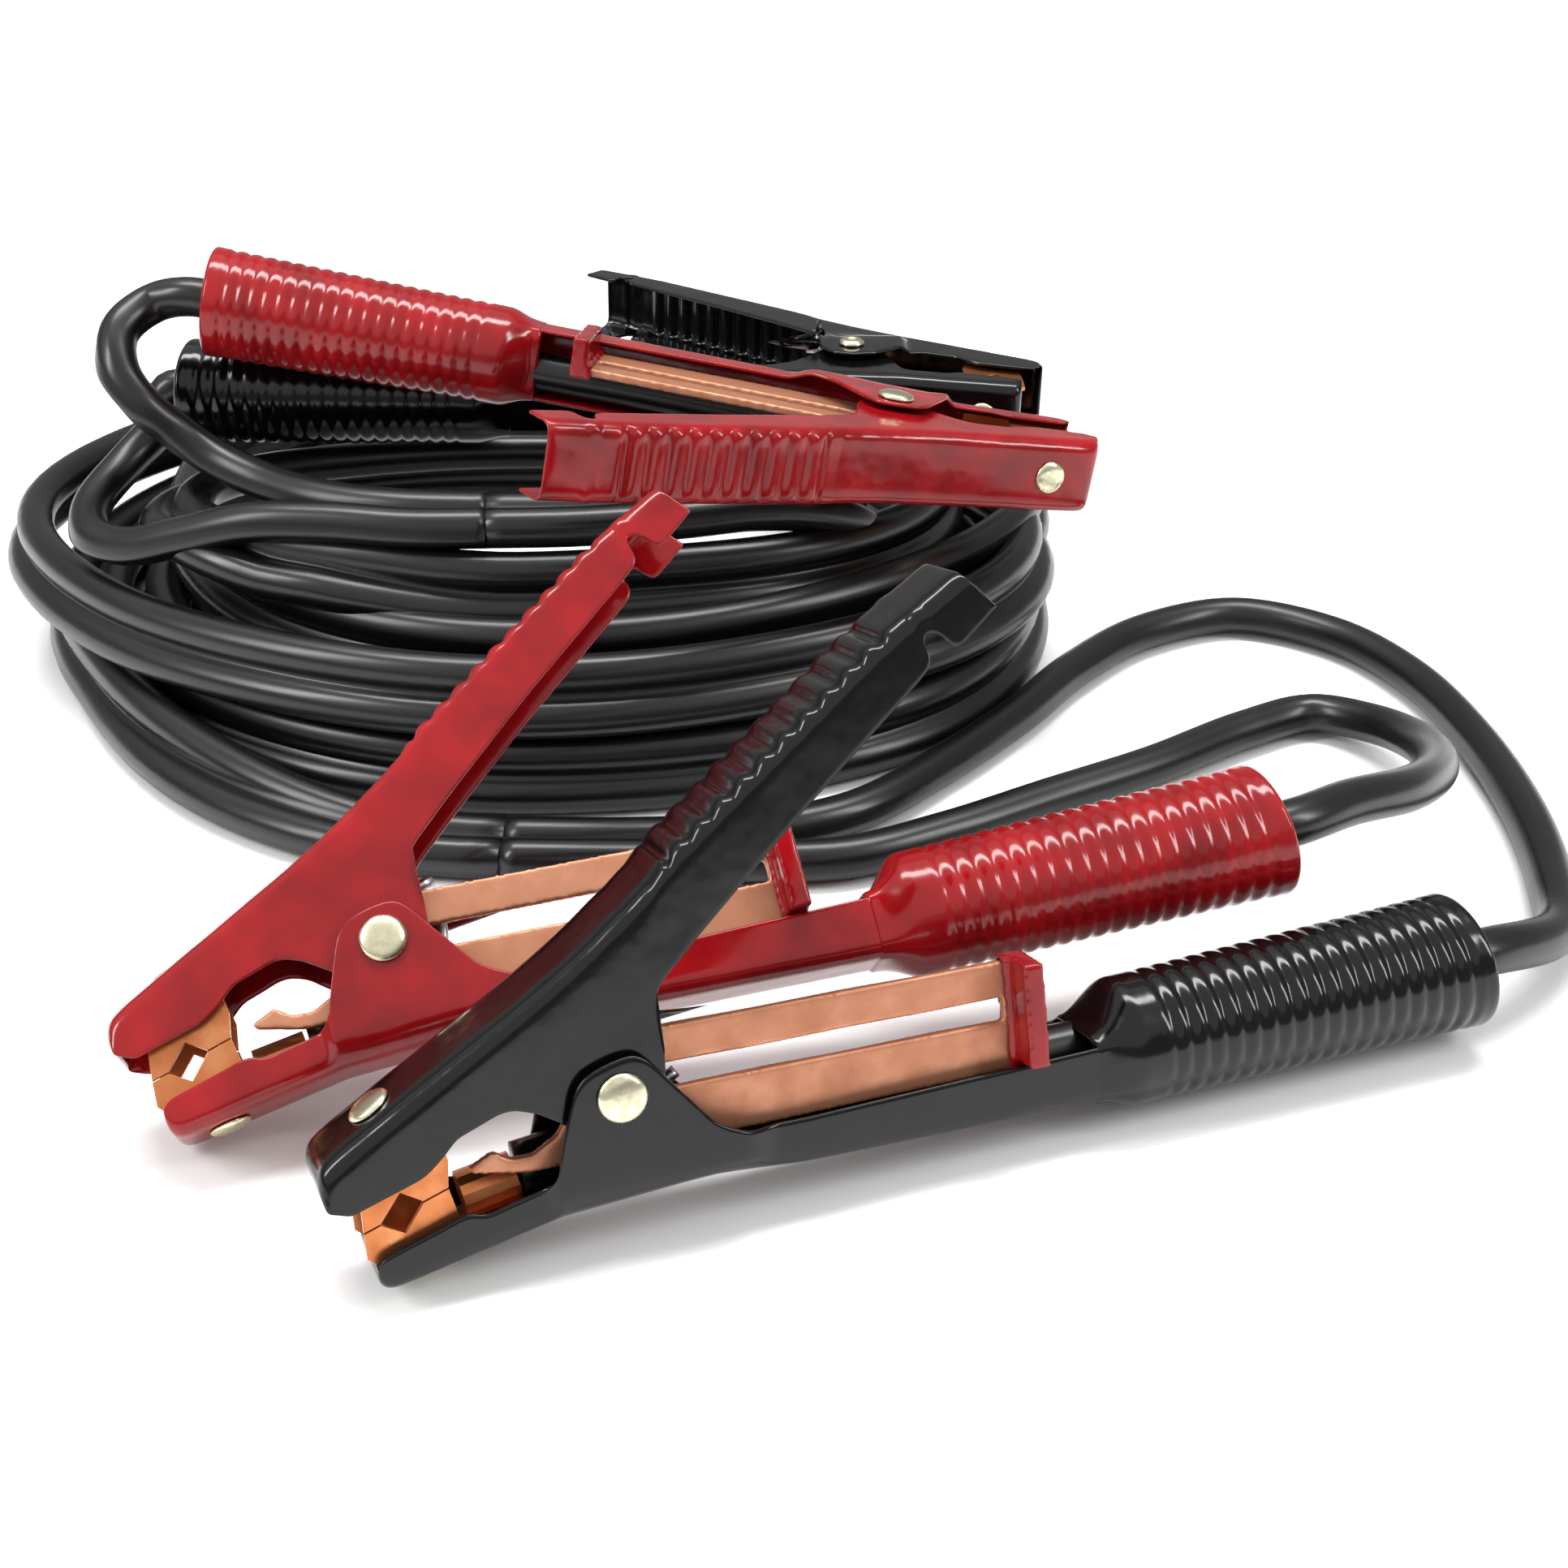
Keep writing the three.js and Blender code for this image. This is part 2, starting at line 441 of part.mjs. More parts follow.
function clampPlace({ at, yaw, rise, lean }) {
  const spin = new THREE.Matrix4().makeRotationZ(THREE.MathUtils.degToRad(yaw));
  const tip = new THREE.Matrix4().makeRotationY(THREE.MathUtils.degToRad(-rise));
  const roll = new THREE.Matrix4().makeRotationX(THREE.MathUtils.degToRad(90 - lean));
  return new THREE.Matrix4().makeTranslation(at[0], at[1], 0).multiply(spin).multiply(tip).multiply(roll);
}

function clamp(spec) {
  const parts = new THREE.Group();
  const pieces = [
    ['lower_lever', lowerLever(), spec.coat],
    ['upper_lever', upperLever(), spec.coat],
    ['pivot_rivet', pivotRivet(), ZINC],
    ['spring', spring(), SPRING_STEEL],
    ['lower_contact', lowerContact(), COPPER_FINISH],
    ['upper_contact', upperContact(), COPPER_FINISH],
    ['lower_contact_rivet', contactRivet(lowerRivetSeat, lowerRivetAxis), ZINC],
    ['upper_contact_rivet', contactRivet(upperRivetSeat, upperRivetAxis), ZINC],
    ['adapter_blade', adapterBlade(), COPPER_FINISH],
    ['adapter_tab', adapterTab(), RED_VINYL],
  ];
  for (const [name, solid, finish] of pieces) parts.add(toMesh(`${spec.name}_${name}`, solid, finish));
  parts.applyMatrix4(clampPlace(spec));
  parts.position.z += spec.rest - new THREE.Box3().setFromObject(parts, true).min.z;
  parts.updateMatrixWorld(true);
  return parts;
}

// A lead starts behind the crimp barrel, runs in the trough and grip, and leaves along its route
function lead(spec, place) {
  const onWeb = (x) => heightOn(LOWER_WEB, x) + SHEET + 2 * GAP + CABLE_RADIUS;
  const inside = [[BARREL_REAR + 2 * GAP, onWeb(BARREL_REAR) + GAP, CABLE_SIDE], [0, onWeb(0) + GAP, CABLE_SIDE],
    [16, onWeb(16) + GAP, CABLE_SIDE], [34, onWeb(34) + GAP, CABLE_SIDE], [66, onWeb(66), CABLE_SIDE],
    [100, AXIS_DROP, CABLE_SIDE], [140, AXIS_DROP, 0], [GRIP_END - 8, AXIS_DROP, 0], [GRIP_END + 6, AXIS_DROP, 0]];
  const within = inside.map(([x, y, z]) => new THREE.Vector3(x, y, z).applyMatrix4(place));
  const outside = ROUTES[spec.name].map(([x, y, z]) => new THREE.Vector3(x, y, z));
  const points = [...within, ...outside];
  const length = new THREE.CatmullRomCurve3(points, false, 'centripetal').getLength();
  const steps = Math.min(40, Math.round(length / (1.5 * CABLE_DIAMETER)));
  return toMesh(`${spec.name}_lead`, tube(points, CABLE_RADIUS, CABLE_SIDES, steps), CABLE_RUBBER);
}

function ring({ x, y, outer, inner, bottom, top, depth }) {
  const profile = [[inner, bottom + COIL_ROUND], [inner + COIL_ROUND, bottom], [outer - COIL_ROUND, bottom],
    [outer, bottom + COIL_ROUND], [outer, top - COIL_ROUND], [outer - COIL_ROUND, top], [inner + COIL_ROUND, top],
    [inner, top - COIL_ROUND], [inner, bottom + COIL_ROUND]];
  const round = turned(profile, COIL_SIDES, new THREE.Vector3(0, 0, 0), SIDEWAYS);
  return round.scale([1, depth, 1]).translate([x, y, 0]);
}

const set = new THREE.Group();
const clamps = new THREE.Group();
set.add(clamps);
for (const spec of CLAMPS) {
  const parts = clamp(spec);
  clamps.add(parts);
  set.add(lead(spec, parts.matrixWorld));
}
set.add(toMesh('cable_coil', ring(COIL_GROUND).add(ring(COIL_MIDDLE)).add(ring(COIL_UPPER)), CABLE_RUBBER));

// The origin is under the middle of the clamps' box, on the ground
set.updateMatrixWorld(true);
const box = new THREE.Box3().setFromObject(clamps, true);
const middle = box.getCenter(new THREE.Vector3());
set.position.set(-middle.x, -middle.y, -box.min.z);
set.updateMatrixWorld(true);

export default set;
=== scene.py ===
# %% [markdown]
# A set of booster cables for a car: one long twin cable wound in a coil, split at both ends
# into two single leads, each with a spring clamp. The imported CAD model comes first. Its
# places and joints stay as they are, and every piece made here rides on one of its bodies.
# %% Load the CAD model
import json
import math
import bmesh
import bpy
from mathutils import Matrix, Vector


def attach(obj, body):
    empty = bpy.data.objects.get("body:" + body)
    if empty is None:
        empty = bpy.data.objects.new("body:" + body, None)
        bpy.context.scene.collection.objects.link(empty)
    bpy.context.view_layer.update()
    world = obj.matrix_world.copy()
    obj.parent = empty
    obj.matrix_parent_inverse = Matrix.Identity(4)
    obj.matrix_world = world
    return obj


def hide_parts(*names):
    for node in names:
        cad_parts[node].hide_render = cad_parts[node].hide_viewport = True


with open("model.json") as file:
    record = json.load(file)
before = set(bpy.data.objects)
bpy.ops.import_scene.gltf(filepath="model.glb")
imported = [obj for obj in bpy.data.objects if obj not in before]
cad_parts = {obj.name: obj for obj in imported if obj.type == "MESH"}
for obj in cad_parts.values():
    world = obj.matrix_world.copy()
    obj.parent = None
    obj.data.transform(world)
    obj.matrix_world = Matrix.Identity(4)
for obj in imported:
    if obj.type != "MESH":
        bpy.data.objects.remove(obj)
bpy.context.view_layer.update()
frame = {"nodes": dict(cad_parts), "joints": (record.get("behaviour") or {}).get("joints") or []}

MM = 0.001
# From the drawing's numbers to the model's origin, in millimetres
SHIFT = Vector((9.6257, 6.8716, 0))
CLAMPS = ["front_black", "front_red", "back_red", "back_black"]

# %% [markdown]
# The camera stands in front of the set and a little above it, looking down by about 27
# degrees. Its lens is slightly longer than a normal one, which keeps the coil's oval flat.
# %% Camera
camera_data = bpy.data.cameras.new("camera")
camera_data.lens = 51.3
camera_data.sensor_width = 36
camera = bpy.data.objects.new("camera", camera_data)
camera.location = (0.0096257, -0.4931284, 0.25785)
camera.rotation_euler = (math.radians(62.64), 0, 0)
bpy.context.scene.collection.objects.link(camera)
bpy.context.scene.camera = camera
print("camera looks down by", round(90 - math.degrees(camera.rotation_euler.x), 1), "degrees")

# %% [markdown]
# Cords and levers are both skins drawn over rows of points. A row starts as loose vertices
# joined by edges, and each next row is extruded from the one before and put in its place, so
# Blender's own extrude makes all the faces.
# %% A skin over rows of points
def add_object(name, bm, material=None):
    mesh = bpy.data.meshes.new(name)
    bm.to_mesh(mesh)
    bm.free()
    for face in mesh.polygons:
        face.use_smooth = True
    piece = bpy.data.objects.new(name, mesh)
    bpy.context.scene.collection.objects.link(piece)
    if material:
        mesh.materials.append(material)
    return piece


def skin(bm, rows, closed):
    """Extrudes the first row's edges from row to row. Returns the rows' vertices."""
    line = [bm.verts.new(p) for p in rows[0]]
    pairs = list(zip(line, line[1:])) + ([(line[-1], line[0])] if closed else [])
    edges = [bm.edges.new(pair) for pair in pairs]
    made = [line]
    for row in rows[1:]:
        grown = bmesh.ops.extrude_edge_only(bm, edges=edges)["geom"]
        fresh = [e for e in grown if isinstance(e, bmesh.types.BMEdge)]
        new_verts = {v for v in grown if isinstance(v, bmesh.types.BMVert)}
        following = []
        for old, place in zip(line, row):
            vert = next(e.other_vert(old) for e in old.link_edges if e.other_vert(old) in new_verts)
            vert.co = place
            following.append(vert)
        edges = [e for e in fresh if e.verts[0] in new_verts and e.verts[1] in new_verts]
        line = following
        made.append(line)
    return made


def smooth_line(points, per_span):
    """Points on a centripetal Catmull-Rom curve, the same curve as the CAD leads follow."""
    ends = [points[0] * 2 - points[1]] + points + [points[-1] * 2 - points[-2]]
    line = []
    for a, b, c, d in zip(ends, ends[1:], ends[2:], ends[3:]):
        ta, tb, tc = ((q - p).length ** 0.5 or 1e-6 for p, q in ((a, b), (b, c), (c, d)))
        start = (b - a) / ta - (c - a) / (ta + tb) + (c - b) / tb
        stop = (c - b) / tb - (d - b) / (tb + tc) + (d - c) / tc
        start, stop = start * tb, stop * tb
        for k in range(per_span):
            t = k / per_span
            line.append((2 * t ** 3 - 3 * t ** 2 + 1) * b + (t ** 3 - 2 * t ** 2 + t) * start
                        + (3 * t ** 2 - 2 * t ** 3) * c + (t ** 3 - t ** 2) * stop)
    return line + [points[-1]]


def mix(a, b, t):
    return a + (b - a) * t


def ease(t):
    t = min(max(t, 0), 1)
    return t * t * (3 - 2 * t)


def line_length(line):
    return sum((b - a).length for a, b in zip(line, line[1:]))


bend = smooth_line([Vector((0, 0, 0)), Vector((1, 0, 0)), Vector((1, 1, 0))], 8)
print("a test bend has", len(bend), "points and is", round(line_length(bend), 2), "long")

# %% [markdown]
# A colour is written as the hex value a picture shows, and one function makes it linear.
# Another one adds a node with its settings and links. Every finish is built from them.
# %% Material helpers
def linear(hex_value):
    parts = [(hex_value >> s & 255) / 255 for s in (16, 8, 0)]
    return (*[c / 12.92 if c <= 0.04045 else ((c + 0.055) / 1.055) ** 2.4 for c in parts], 1)


def node(tree, kind, settings=None, **links):
    made = tree.nodes.new(kind)
    for key, value in (settings or {}).items():
        setattr(made, key, value)
    for key, value in links.items():
        socket = made.inputs[key.replace("_", " ")]
        if isinstance(value, bpy.types.NodeSocket):
            tree.links.new(value, socket)
        else:
            socket.default_value = value
    return made


def new_material(name):
    material = bpy.data.materials.new(name)
    material.use_nodes = True
    tree = material.node_tree
    return material, tree, tree.nodes["Principled BSDF"]


def ramp(tree, factor, stops):
    made = node(tree, "ShaderNodeValToRGB", None, Fac=factor)
    while len(made.color_ramp.elements) < len(stops):
        made.color_ramp.elements.new(0.5)
    for element, (place, colour) in zip(made.color_ramp.elements, stops):
        element.position = place
        element.color = colour if isinstance(colour, tuple) else linear(colour)
    return made.outputs["Color"]


def grey(value):
    return (value, value, value, 1)


print("mid grey made linear:", [round(c, 3) for c in linear(0x808080)])

# %% [markdown]
# The jacket is extruded black PVC. The die leaves very fine lines along it, and handling
# leaves a greyish bloom in long streaks. The cord carries an attribute with the place round
# the section and along it in metres, so the lines follow every bend.
# %% Cable jacket: extruded PVC
def extruded_pvc():
    material, tree, shader = new_material("extruded_pvc_jacket")
    place = node(tree, "ShaderNodeAttribute", {"attribute_name": "cord_place"}).outputs["Vector"]
    # Die lines about 0.5 mm apart round the section, 60 mm long
    stretch = node(tree, "ShaderNodeMapping", None, Vector=place, Scale=(1, 1, 0.01))
    lines = node(tree, "ShaderNodeTexNoise", None, Vector=stretch.outputs[0], Scale=900, Detail=3)
    # Bloom in streaks about 4 mm wide and 80 mm long
    drift = node(tree, "ShaderNodeMapping", None, Vector=place, Scale=(1, 1, 0.05))
    bloom = node(tree, "ShaderNodeTexNoise", None, Vector=drift.outputs[0], Scale=220, Detail=4)
    colour = ramp(tree, bloom.outputs["Fac"], [(0.35, 0x08090A), (0.62, 0x0D0E0F), (0.8, 0x161718)])
    tree.links.new(colour, shader.inputs["Base Color"])
    gloss = ramp(tree, bloom.outputs["Fac"], [(0.3, grey(0.24)), (0.75, grey(0.38))])
    tree.links.new(gloss, shader.inputs["Roughness"])
    shader.inputs["IOR"].default_value = 1.53
    shader.inputs["Specular IOR Level"].default_value = 0.42
    bump = node(tree, "ShaderNodeBump", None, Height=lines.outputs["Fac"], Strength=0.35,
                Distance=0.00006)
    tree.links.new(bump.outputs[0], shader.inputs["Normal"])
    return material


jacket = extruded_pvc()
print("jacket finish:", jacket.name)

# %% [markdown]
# A single lead is a round tube with a low fin where its web was torn from the other
# conductor. Its route is the CAD's own, point by point: the first nine points lie in the
# clamp, and the others on the floor or the coil. A sweep turns a flat outline square to the
# route at each step, with its fin turned to the side and a little down.
# %% Sweep along a route
def sweep(name, line, outline, levels, material, spread=None):
    """Draws the outline's (side, up) points, in mm, at each point of a line in metres.

    levels has each point's side direction, and spread says by how many mm the outline's two
    halves are moved apart there."""
    bm = bmesh.new()
    place = bm.verts.layers.float_vector.new("cord_place")
    rows = []
    walked = [0]
    for k, here in enumerate(line):
        ahead = (line[min(k + 1, len(line) - 1)] - line[max(k - 1, 0)]).normalized()
        side = levels[k] - ahead * levels[k].dot(ahead)
        side.normalize()
        up = ahead.cross(side)
        apart = spread[k] if spread else 0
        rows.append([here + (side * (x + math.copysign(apart, x)) + up * y) * MM
                     for x, y in outline])
        if k:
            walked.append(walked[-1] + (here - line[k - 1]).length)
    made = skin(bm, rows, True)
    for row, far in zip(made, walked):
        for vert, (x, y) in zip(row, outline):
            vert[place] = (x * MM, y * MM, far)
    for row in (made[0], made[-1]):
        bmesh.ops.contextual_create(bm, geom=row)
    bmesh.ops.recalc_face_normals(bm, faces=bm.faces)
    return add_object(name, bm, material)


LEAD_POINTS = {
    "front_black": [(-37.9, -171.6, 14.4), (-21.8, -165.1, 16.1), (-6.9, -159.2, 17),
        (10.1, -153.2, 15.4), (40.2, -142.2, 14.3), (72, -130.2, 14.2), (110.1, -117.9, 15.4),
        (140, -106.5, 15.9), (153.1, -101.5, 16.2), (175.6, -81.1, 9), (183.6, -53.1, 6),
        (187.6, -19.1, 5.3), (186.6, 20.9, 5.3), (179.6, 58.9, 5.3), (164.6, 86.9, 5.3),
        (139.6, 100.9, 5.3), (111.6, 88.9, 5.3), (88.6, 62.9, 5.3), (70.1, 33.4, 5.3),
        (48.6, 4.9, 5.3), (26.6, -19.1, 5.3), (1.6, -30.1, 5.3), (-26.4, -32.9, 5.3),
        (-55.4, -32.3, 5.3)],
    "front_red": [(-80.6, -136.7, 16.7), (-64.3, -131.1, 19.6), (-49.1, -126.4, 21.7),
        (-31.3, -122.8, 22.2), (-0.2, -115.4, 24.3), (32.5, -106.8, 27.3), (71.1, -97.6, 33),
        (101.7, -89, 36.3), (115.1, -85.3, 37.8), (129.6, -73.1, 36), (147.6, -55.1, 30),
        (161.6, -29.1, 22), (166.6, -1.1, 14), (161.6, 22.9, 8), (147.6, 34.9, 5.5),
        (127.6, 24.9, 5.3), (101.6, 4.9, 5.3), (73.6, -13.1, 5.3), (47.6, -30.1, 5.3),
        (23.6, -42.1, 5.3), (-0.4, -43.7, 5.3), (-26.4, -43.3, 5.3), (-55.4, -42.7, 5.3)],
    "back_red": [(53.6, 59.3, 68.9), (36.3, 59.6, 71.8), (20.6, 60.6, 74.5), (3.1, 64.2, 77.1),
        (-28.2, 69.1, 82.1), (-61.6, 73.1, 87.4), (-100.5, 77.3, 95.9), (-131.9, 80.4, 101),
        (-145.7, 81.8, 103.2), (-155.4, 82.9, 101), (-162.4, 74.9, 96), (-161.4, 66.9, 88),
        (-155.4, 62.9, 80), (-148.4, 63.9, 73), (-140.4, 62.9, 67), (-126.4, 55.9, 62.6),
        (-107.4, 43.9, 61.4), (-86.4, 36.9, 61.4), (-64.4, 34.9, 61.4)],
    "back_black": [(45.6, 99.4, 71.1), (28.2, 100.9, 71.5), (12.2, 101.4, 71.9),
        (-5.8, 99.5, 72.2), (-37.8, 97.8, 72.8), (-71.8, 97, 73.5), (-111.8, 97.1, 72.3),
        (-143.8, 97.1, 73), (-157.8, 97.1, 73.2), (-160.4, 95.9, 65), (-168.4, 86.9, 57),
        (-174.4, 68.9, 50.5), (-170.4, 53.9, 48), (-158.4, 43.9, 48.6), (-142.4, 36.9, 54),
        (-123.4, 30.9, 60), (-103.4, 26.9, 61.6), (-82.4, 23.3, 61.4), (-63.4, 23.3, 61.4)],
}
LEAD_RADIUS = 5.1
LEAD_SIDES = 28
FIN_HEIGHT = 0.7
# Half the fin's foot, as an angle round the lead in radians
FIN_FOOT = 0.3


def lead_outline():
    """A circle with a low fin where the web was split."""
    outline = []
    for k in range(LEAD_SIDES):
        turn = 2 * math.pi * k / LEAD_SIDES
        from_fin = min(turn, 2 * math.pi - turn)
        reach = LEAD_RADIUS + FIN_HEIGHT * max(0, 1 - from_fin / FIN_FOOT) ** 0.7
        outline.append((reach * math.cos(turn), reach * math.sin(turn)))
    return outline


for clamp in CLAMPS:
    route = [Vector(p) * MM for p in LEAD_POINTS[clamp]]
    line = smooth_line(route, 8)
    # The fin is on the side that the front clamps show least, and leans down
    levels = []
    for k, here in enumerate(line):
        ahead = (line[min(k + 1, len(line) - 1)] - line[max(k - 1, 0)]).normalized()
        flat = Vector((ahead.y, -ahead.x, 0)).normalized()
        levels.append(flat * (-1 if clamp.startswith("front") else 1) + Vector((0, 0, -0.35)))
    lead = sweep(f"{clamp}_lead_cable", line, lead_outline(), levels, jacket)
    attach(lead, "cable_set")
    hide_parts(f"{clamp}_lead")

# %% [markdown]
# The twin cable has two conductors side by side with a thin web between them, like an 8.
# It stands on its edge in most of the coil, because it bends more easily that way. Each row
# of the table is one turn: its radius every 30 degrees clockwise from the front, its height,
# and how far its lower conductor leans outwards. A turn goes over into the next at the back.
# %% Twin cable wound in a coil
COIL_CENTRE = Vector((-68, 108, 0)) + SHIFT
# radii at 0 front, 30, 60, 90 left, ... 330; height of the pair's middle; lean in degrees
TURNS = [
    ((136, 132, 132, 138, 140, 137, 133, 133, 136, 138, 140, 138), 10.3, 14),
    ((124, 121, 121, 126, 127, 124, 121, 121, 124, 126, 127, 125), 10.3, 12),
    ((111, 108, 108, 112, 113, 111, 108, 108, 111, 113, 114, 112), 10.5, 10),
    ((98, 96, 96, 99, 101, 99, 97, 97, 99, 101, 102, 99), 10.5, 6),
    ((124, 123, 133, 147, 141, 131, 127, 129, 136, 144, 139, 128), 30.8, 22),
    ((108, 102, 99, 103, 112, 118, 118, 119, 128, 133, 121, 112), 34, 8),
]
# The last turn is a smaller oval that crosses the hole: its middle, its half width and half
# depth, and its height and lean at some angles
OVAL_CENTRE = Vector((-70, 58, 0)) + SHIFT
OVAL_HALF = (90, 46.5)
OVAL_KEYS = [(0, 46.5, 12), (35, 50, 50), (60, 52, 78), (100, 51, 60), (150, 47, 25),
             (230, 46, 12), (361, 46, 12)]
TWIN_RADIUS = 5.05
TWIN_HALF_PITCH = 5.05
# How far the cable is kept above the floor at least
FLOOR_GAP = 0.15
# For each turn, where it rises and where it moves across to the next one, in degrees
CHANGES = [((300, 359), (300, 359)), ((300, 359), (300, 359)), ((300, 359), (300, 359)),
           ((130, 215), (205, 300)), ((200, 260), (225, 320))]
TO_OVAL = (200, 340)
STEP = 10
LAST_TURN = 360 * len(TURNS)
# The cable starts flat on the floor, so far outside its first turn, and turns up on its edge
START_OUT = 16.6
START_ANGLE = -2
TURNED_UP = 65
# It ends flat on top, past a whole oval turn, where the back leads part
END_ANGLE = 364
TOP_SPAN = 115
TOP_RISE = 75
TOP_HEIGHT = 61.3
TOP_BACK = 10.7


def turn_state(angle):
    """Centre point and lean at an angle counted on from the first turn's front, in degrees."""
    whole = min(int(angle // 360), len(TURNS) - 1)
    part = angle / 30 % 12
    first, second = int(part) % 12, (int(part) + 1) % 12
    t = part - int(part)

    def of_turn(index):
        radii, height, lean = TURNS[index]
        before, after = radii[(first - 1) % 12], radii[(second + 1) % 12]
        here, there = radii[first], radii[second]
        slope, other = (there - before) / 2, (after - here) / 2
        reach = ((2 * t ** 3 - 3 * t ** 2 + 1) * here + (t ** 3 - 2 * t ** 2 + t) * slope
                 + (3 * t ** 2 - 2 * t ** 3) * there + (t ** 3 - t ** 2) * other)
        return reach, height, lean

    reach, height, lean = of_turn(whole)
    if whole < len(TURNS) - 1:
        # The change to the next turn is at the back: first up, then across
        after = of_turn(whole + 1)
        local = angle % 360
        rise, cross = CHANGES[whole]
        reach = mix(reach, after[0], ease((local - cross[0]) / (cross[1] - cross[0])))
        height = mix(height, after[1], ease((local - rise[0]) / (rise[1] - rise[0])))
        lean = mix(lean, after[2], ease((local - rise[0]) / (rise[1] - rise[0])))
    return reach, height, lean


def oval_state(angle):
    """Height and lean of the last turn at an angle counted on from its front."""
    for (a, za, la), (b, zb, lb) in zip(OVAL_KEYS, OVAL_KEYS[1:]):
        if angle <= b:
            share = ease((angle - a) / (b - a))
            return mix(za, zb, share), mix(la, lb, share)
    return OVAL_KEYS[-1][1:]


def twin_route():
    """Points along the cable's middle, in metres, and the direction of its lower conductor."""
    points, sides = [], []
    last = LAST_TURN + END_ANGLE
    for angle in [START_ANGLE] + list(range(STEP, last - STEP // 2, STEP)) + [last]:
        reach, height, lean = turn_state(min(max(angle, 0), LAST_TURN - 0.01))
        turn = math.radians(angle)
        outward = Vector((-math.sin(turn), -math.cos(turn), 0))
        start = 1 - ease(angle / TURNED_UP)
        reach += start * START_OUT
        height = mix(height, TWIN_RADIUS + FLOOR_GAP, start)
        lean = mix(lean, 90, start)
        place = COIL_CENTRE + outward * reach
        oval = ease((angle - LAST_TURN + 360 - TO_OVAL[0]) / (TO_OVAL[1] - TO_OVAL[0]))
        oval_place = OVAL_CENTRE + Vector((outward.x * OVAL_HALF[0], outward.y * OVAL_HALF[1], 0))
        oval_height, oval_lean = oval_state(max(angle - LAST_TURN, 0))
        place = mix(place, oval_place, oval)
        height, lean = mix(height, oval_height, oval), mix(lean, oval_lean, oval)
        finish = ease((angle - last + TOP_SPAN) / TOP_RISE)
        height, lean = mix(height, TOP_HEIGHT, finish), mix(lean, 90, finish)
        place.y += TOP_BACK * finish
        tilt = math.radians(lean)
        height = max(height, TWIN_HALF_PITCH * math.cos(tilt) + TWIN_RADIUS + FLOOR_GAP)
        points.append((place + Vector((0, 0, height))) * MM)
        sides.append((outward * math.sin(tilt) - Vector((0, 0, math.cos(tilt)))).normalized())
    return points, sides


# Half of the angle that the web takes on a conductor, in radians
WAIST = 0.42
ROUND_STEPS = 16


def twin_outline():
    """Two circles of vertices with a narrow waist between them."""
    outline = []
    for side in (1, -1):
        for k in range(ROUND_STEPS + 1):
            turn = mix(-math.pi + WAIST, math.pi - WAIST, k / ROUND_STEPS)
            x, y = TWIN_HALF_PITCH + TWIN_RADIUS * math.cos(turn), TWIN_RADIUS * math.sin(turn)
            outline.append((side * x, side * y))
    return outline


PER_SPAN = 3
points, sides = twin_route()
line = smooth_line(points, PER_SPAN)
levels = []
for k in range(len(line)):
    first = min(k // PER_SPAN, len(sides) - 2)
    levels.append(mix(sides[first], sides[first + 1], min(k / PER_SPAN - first, 1)).normalized())
# The two conductors part a little where the single leads begin
SPLIT_STEPS = 6
START_SPLIT, END_SPLIT = 0.15, 0.75
spread = [START_SPLIT * max(0, 1 - k / SPLIT_STEPS)
          + END_SPLIT * max(0, 1 - (len(line) - 1 - k) / SPLIT_STEPS) for k in range(len(line))]
twin = sweep("twin_cable", line, twin_outline(), levels, jacket, spread)
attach(twin, "cable_set")
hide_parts("cable_coil")

# %% [markdown]
# Each clamp has its own frame: the origin is the pivot, X runs along the cable lever, Y points
# to the hand lever and Z to the side with the pivot's domed head. The joints of the packed
# model give this frame, so a clamp made once stands right in all four places.
# %% Clamp frames
joints = {joint["name"]: joint for joint in frame["joints"]}
# The adapter slides along a line that drops by so much against the cable lever's X
SLIDE_TILT = math.atan(-0.034)


def clamp_frame(clamp):
    """The matrix from a clamp's frame, in millimetres, to the model's, in metres."""
    w = -Vector(joints[f"{clamp}_jaw"]["axis"]).normalized()
    e1 = -Vector(joints[f"{clamp}_adapter_slide"]["axis"]).normalized()
    e2 = w.cross(e1)
    u = e1 * math.cos(SLIDE_TILT) - e2 * math.sin(SLIDE_TILT)
    v = e1 * math.sin(SLIDE_TILT) + e2 * math.cos(SLIDE_TILT)
    turned = Matrix((u, v, w)).transposed().to_4x4()
    return Matrix.Translation(Vector(joints[f"{clamp}_jaw"]["pos_m"])) @ turned @ Matrix.Scale(MM, 4)


FRAMES = {clamp: clamp_frame(clamp) for clamp in CLAMPS}
print("pivots:", {clamp: [round(v, 4) for v in m.translation] for clamp, m in FRAMES.items()})


def put(piece, clamp, body, slot_name, material, *nodes, name=None):
    """A copy of a piece drawn in the clamp's frame, put in its place on one clamp."""
    mesh = piece.data.copy()
    mesh.transform(FRAMES[clamp])
    mesh.materials.clear()
    mesh.materials.append(material)
    copy = bpy.data.objects.new(name or f"{clamp}_{piece.name}", mesh)
    bpy.context.scene.collection.objects.link(copy)
    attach(copy, body)
    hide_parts(*[f"{clamp}_{n}" for n in nodes])
    return copy


def finished(piece):
    """The piece's mesh with its modifiers applied, as one plain mesh."""
    graph = bpy.context.evaluated_depsgraph_get()
    mesh = bpy.data.meshes.new_from_object(piece.evaluated_get(graph))
    old = piece.data
    piece.modifiers.clear()
    piece.data = mesh
    bpy.data.meshes.remove(old)
    return piece


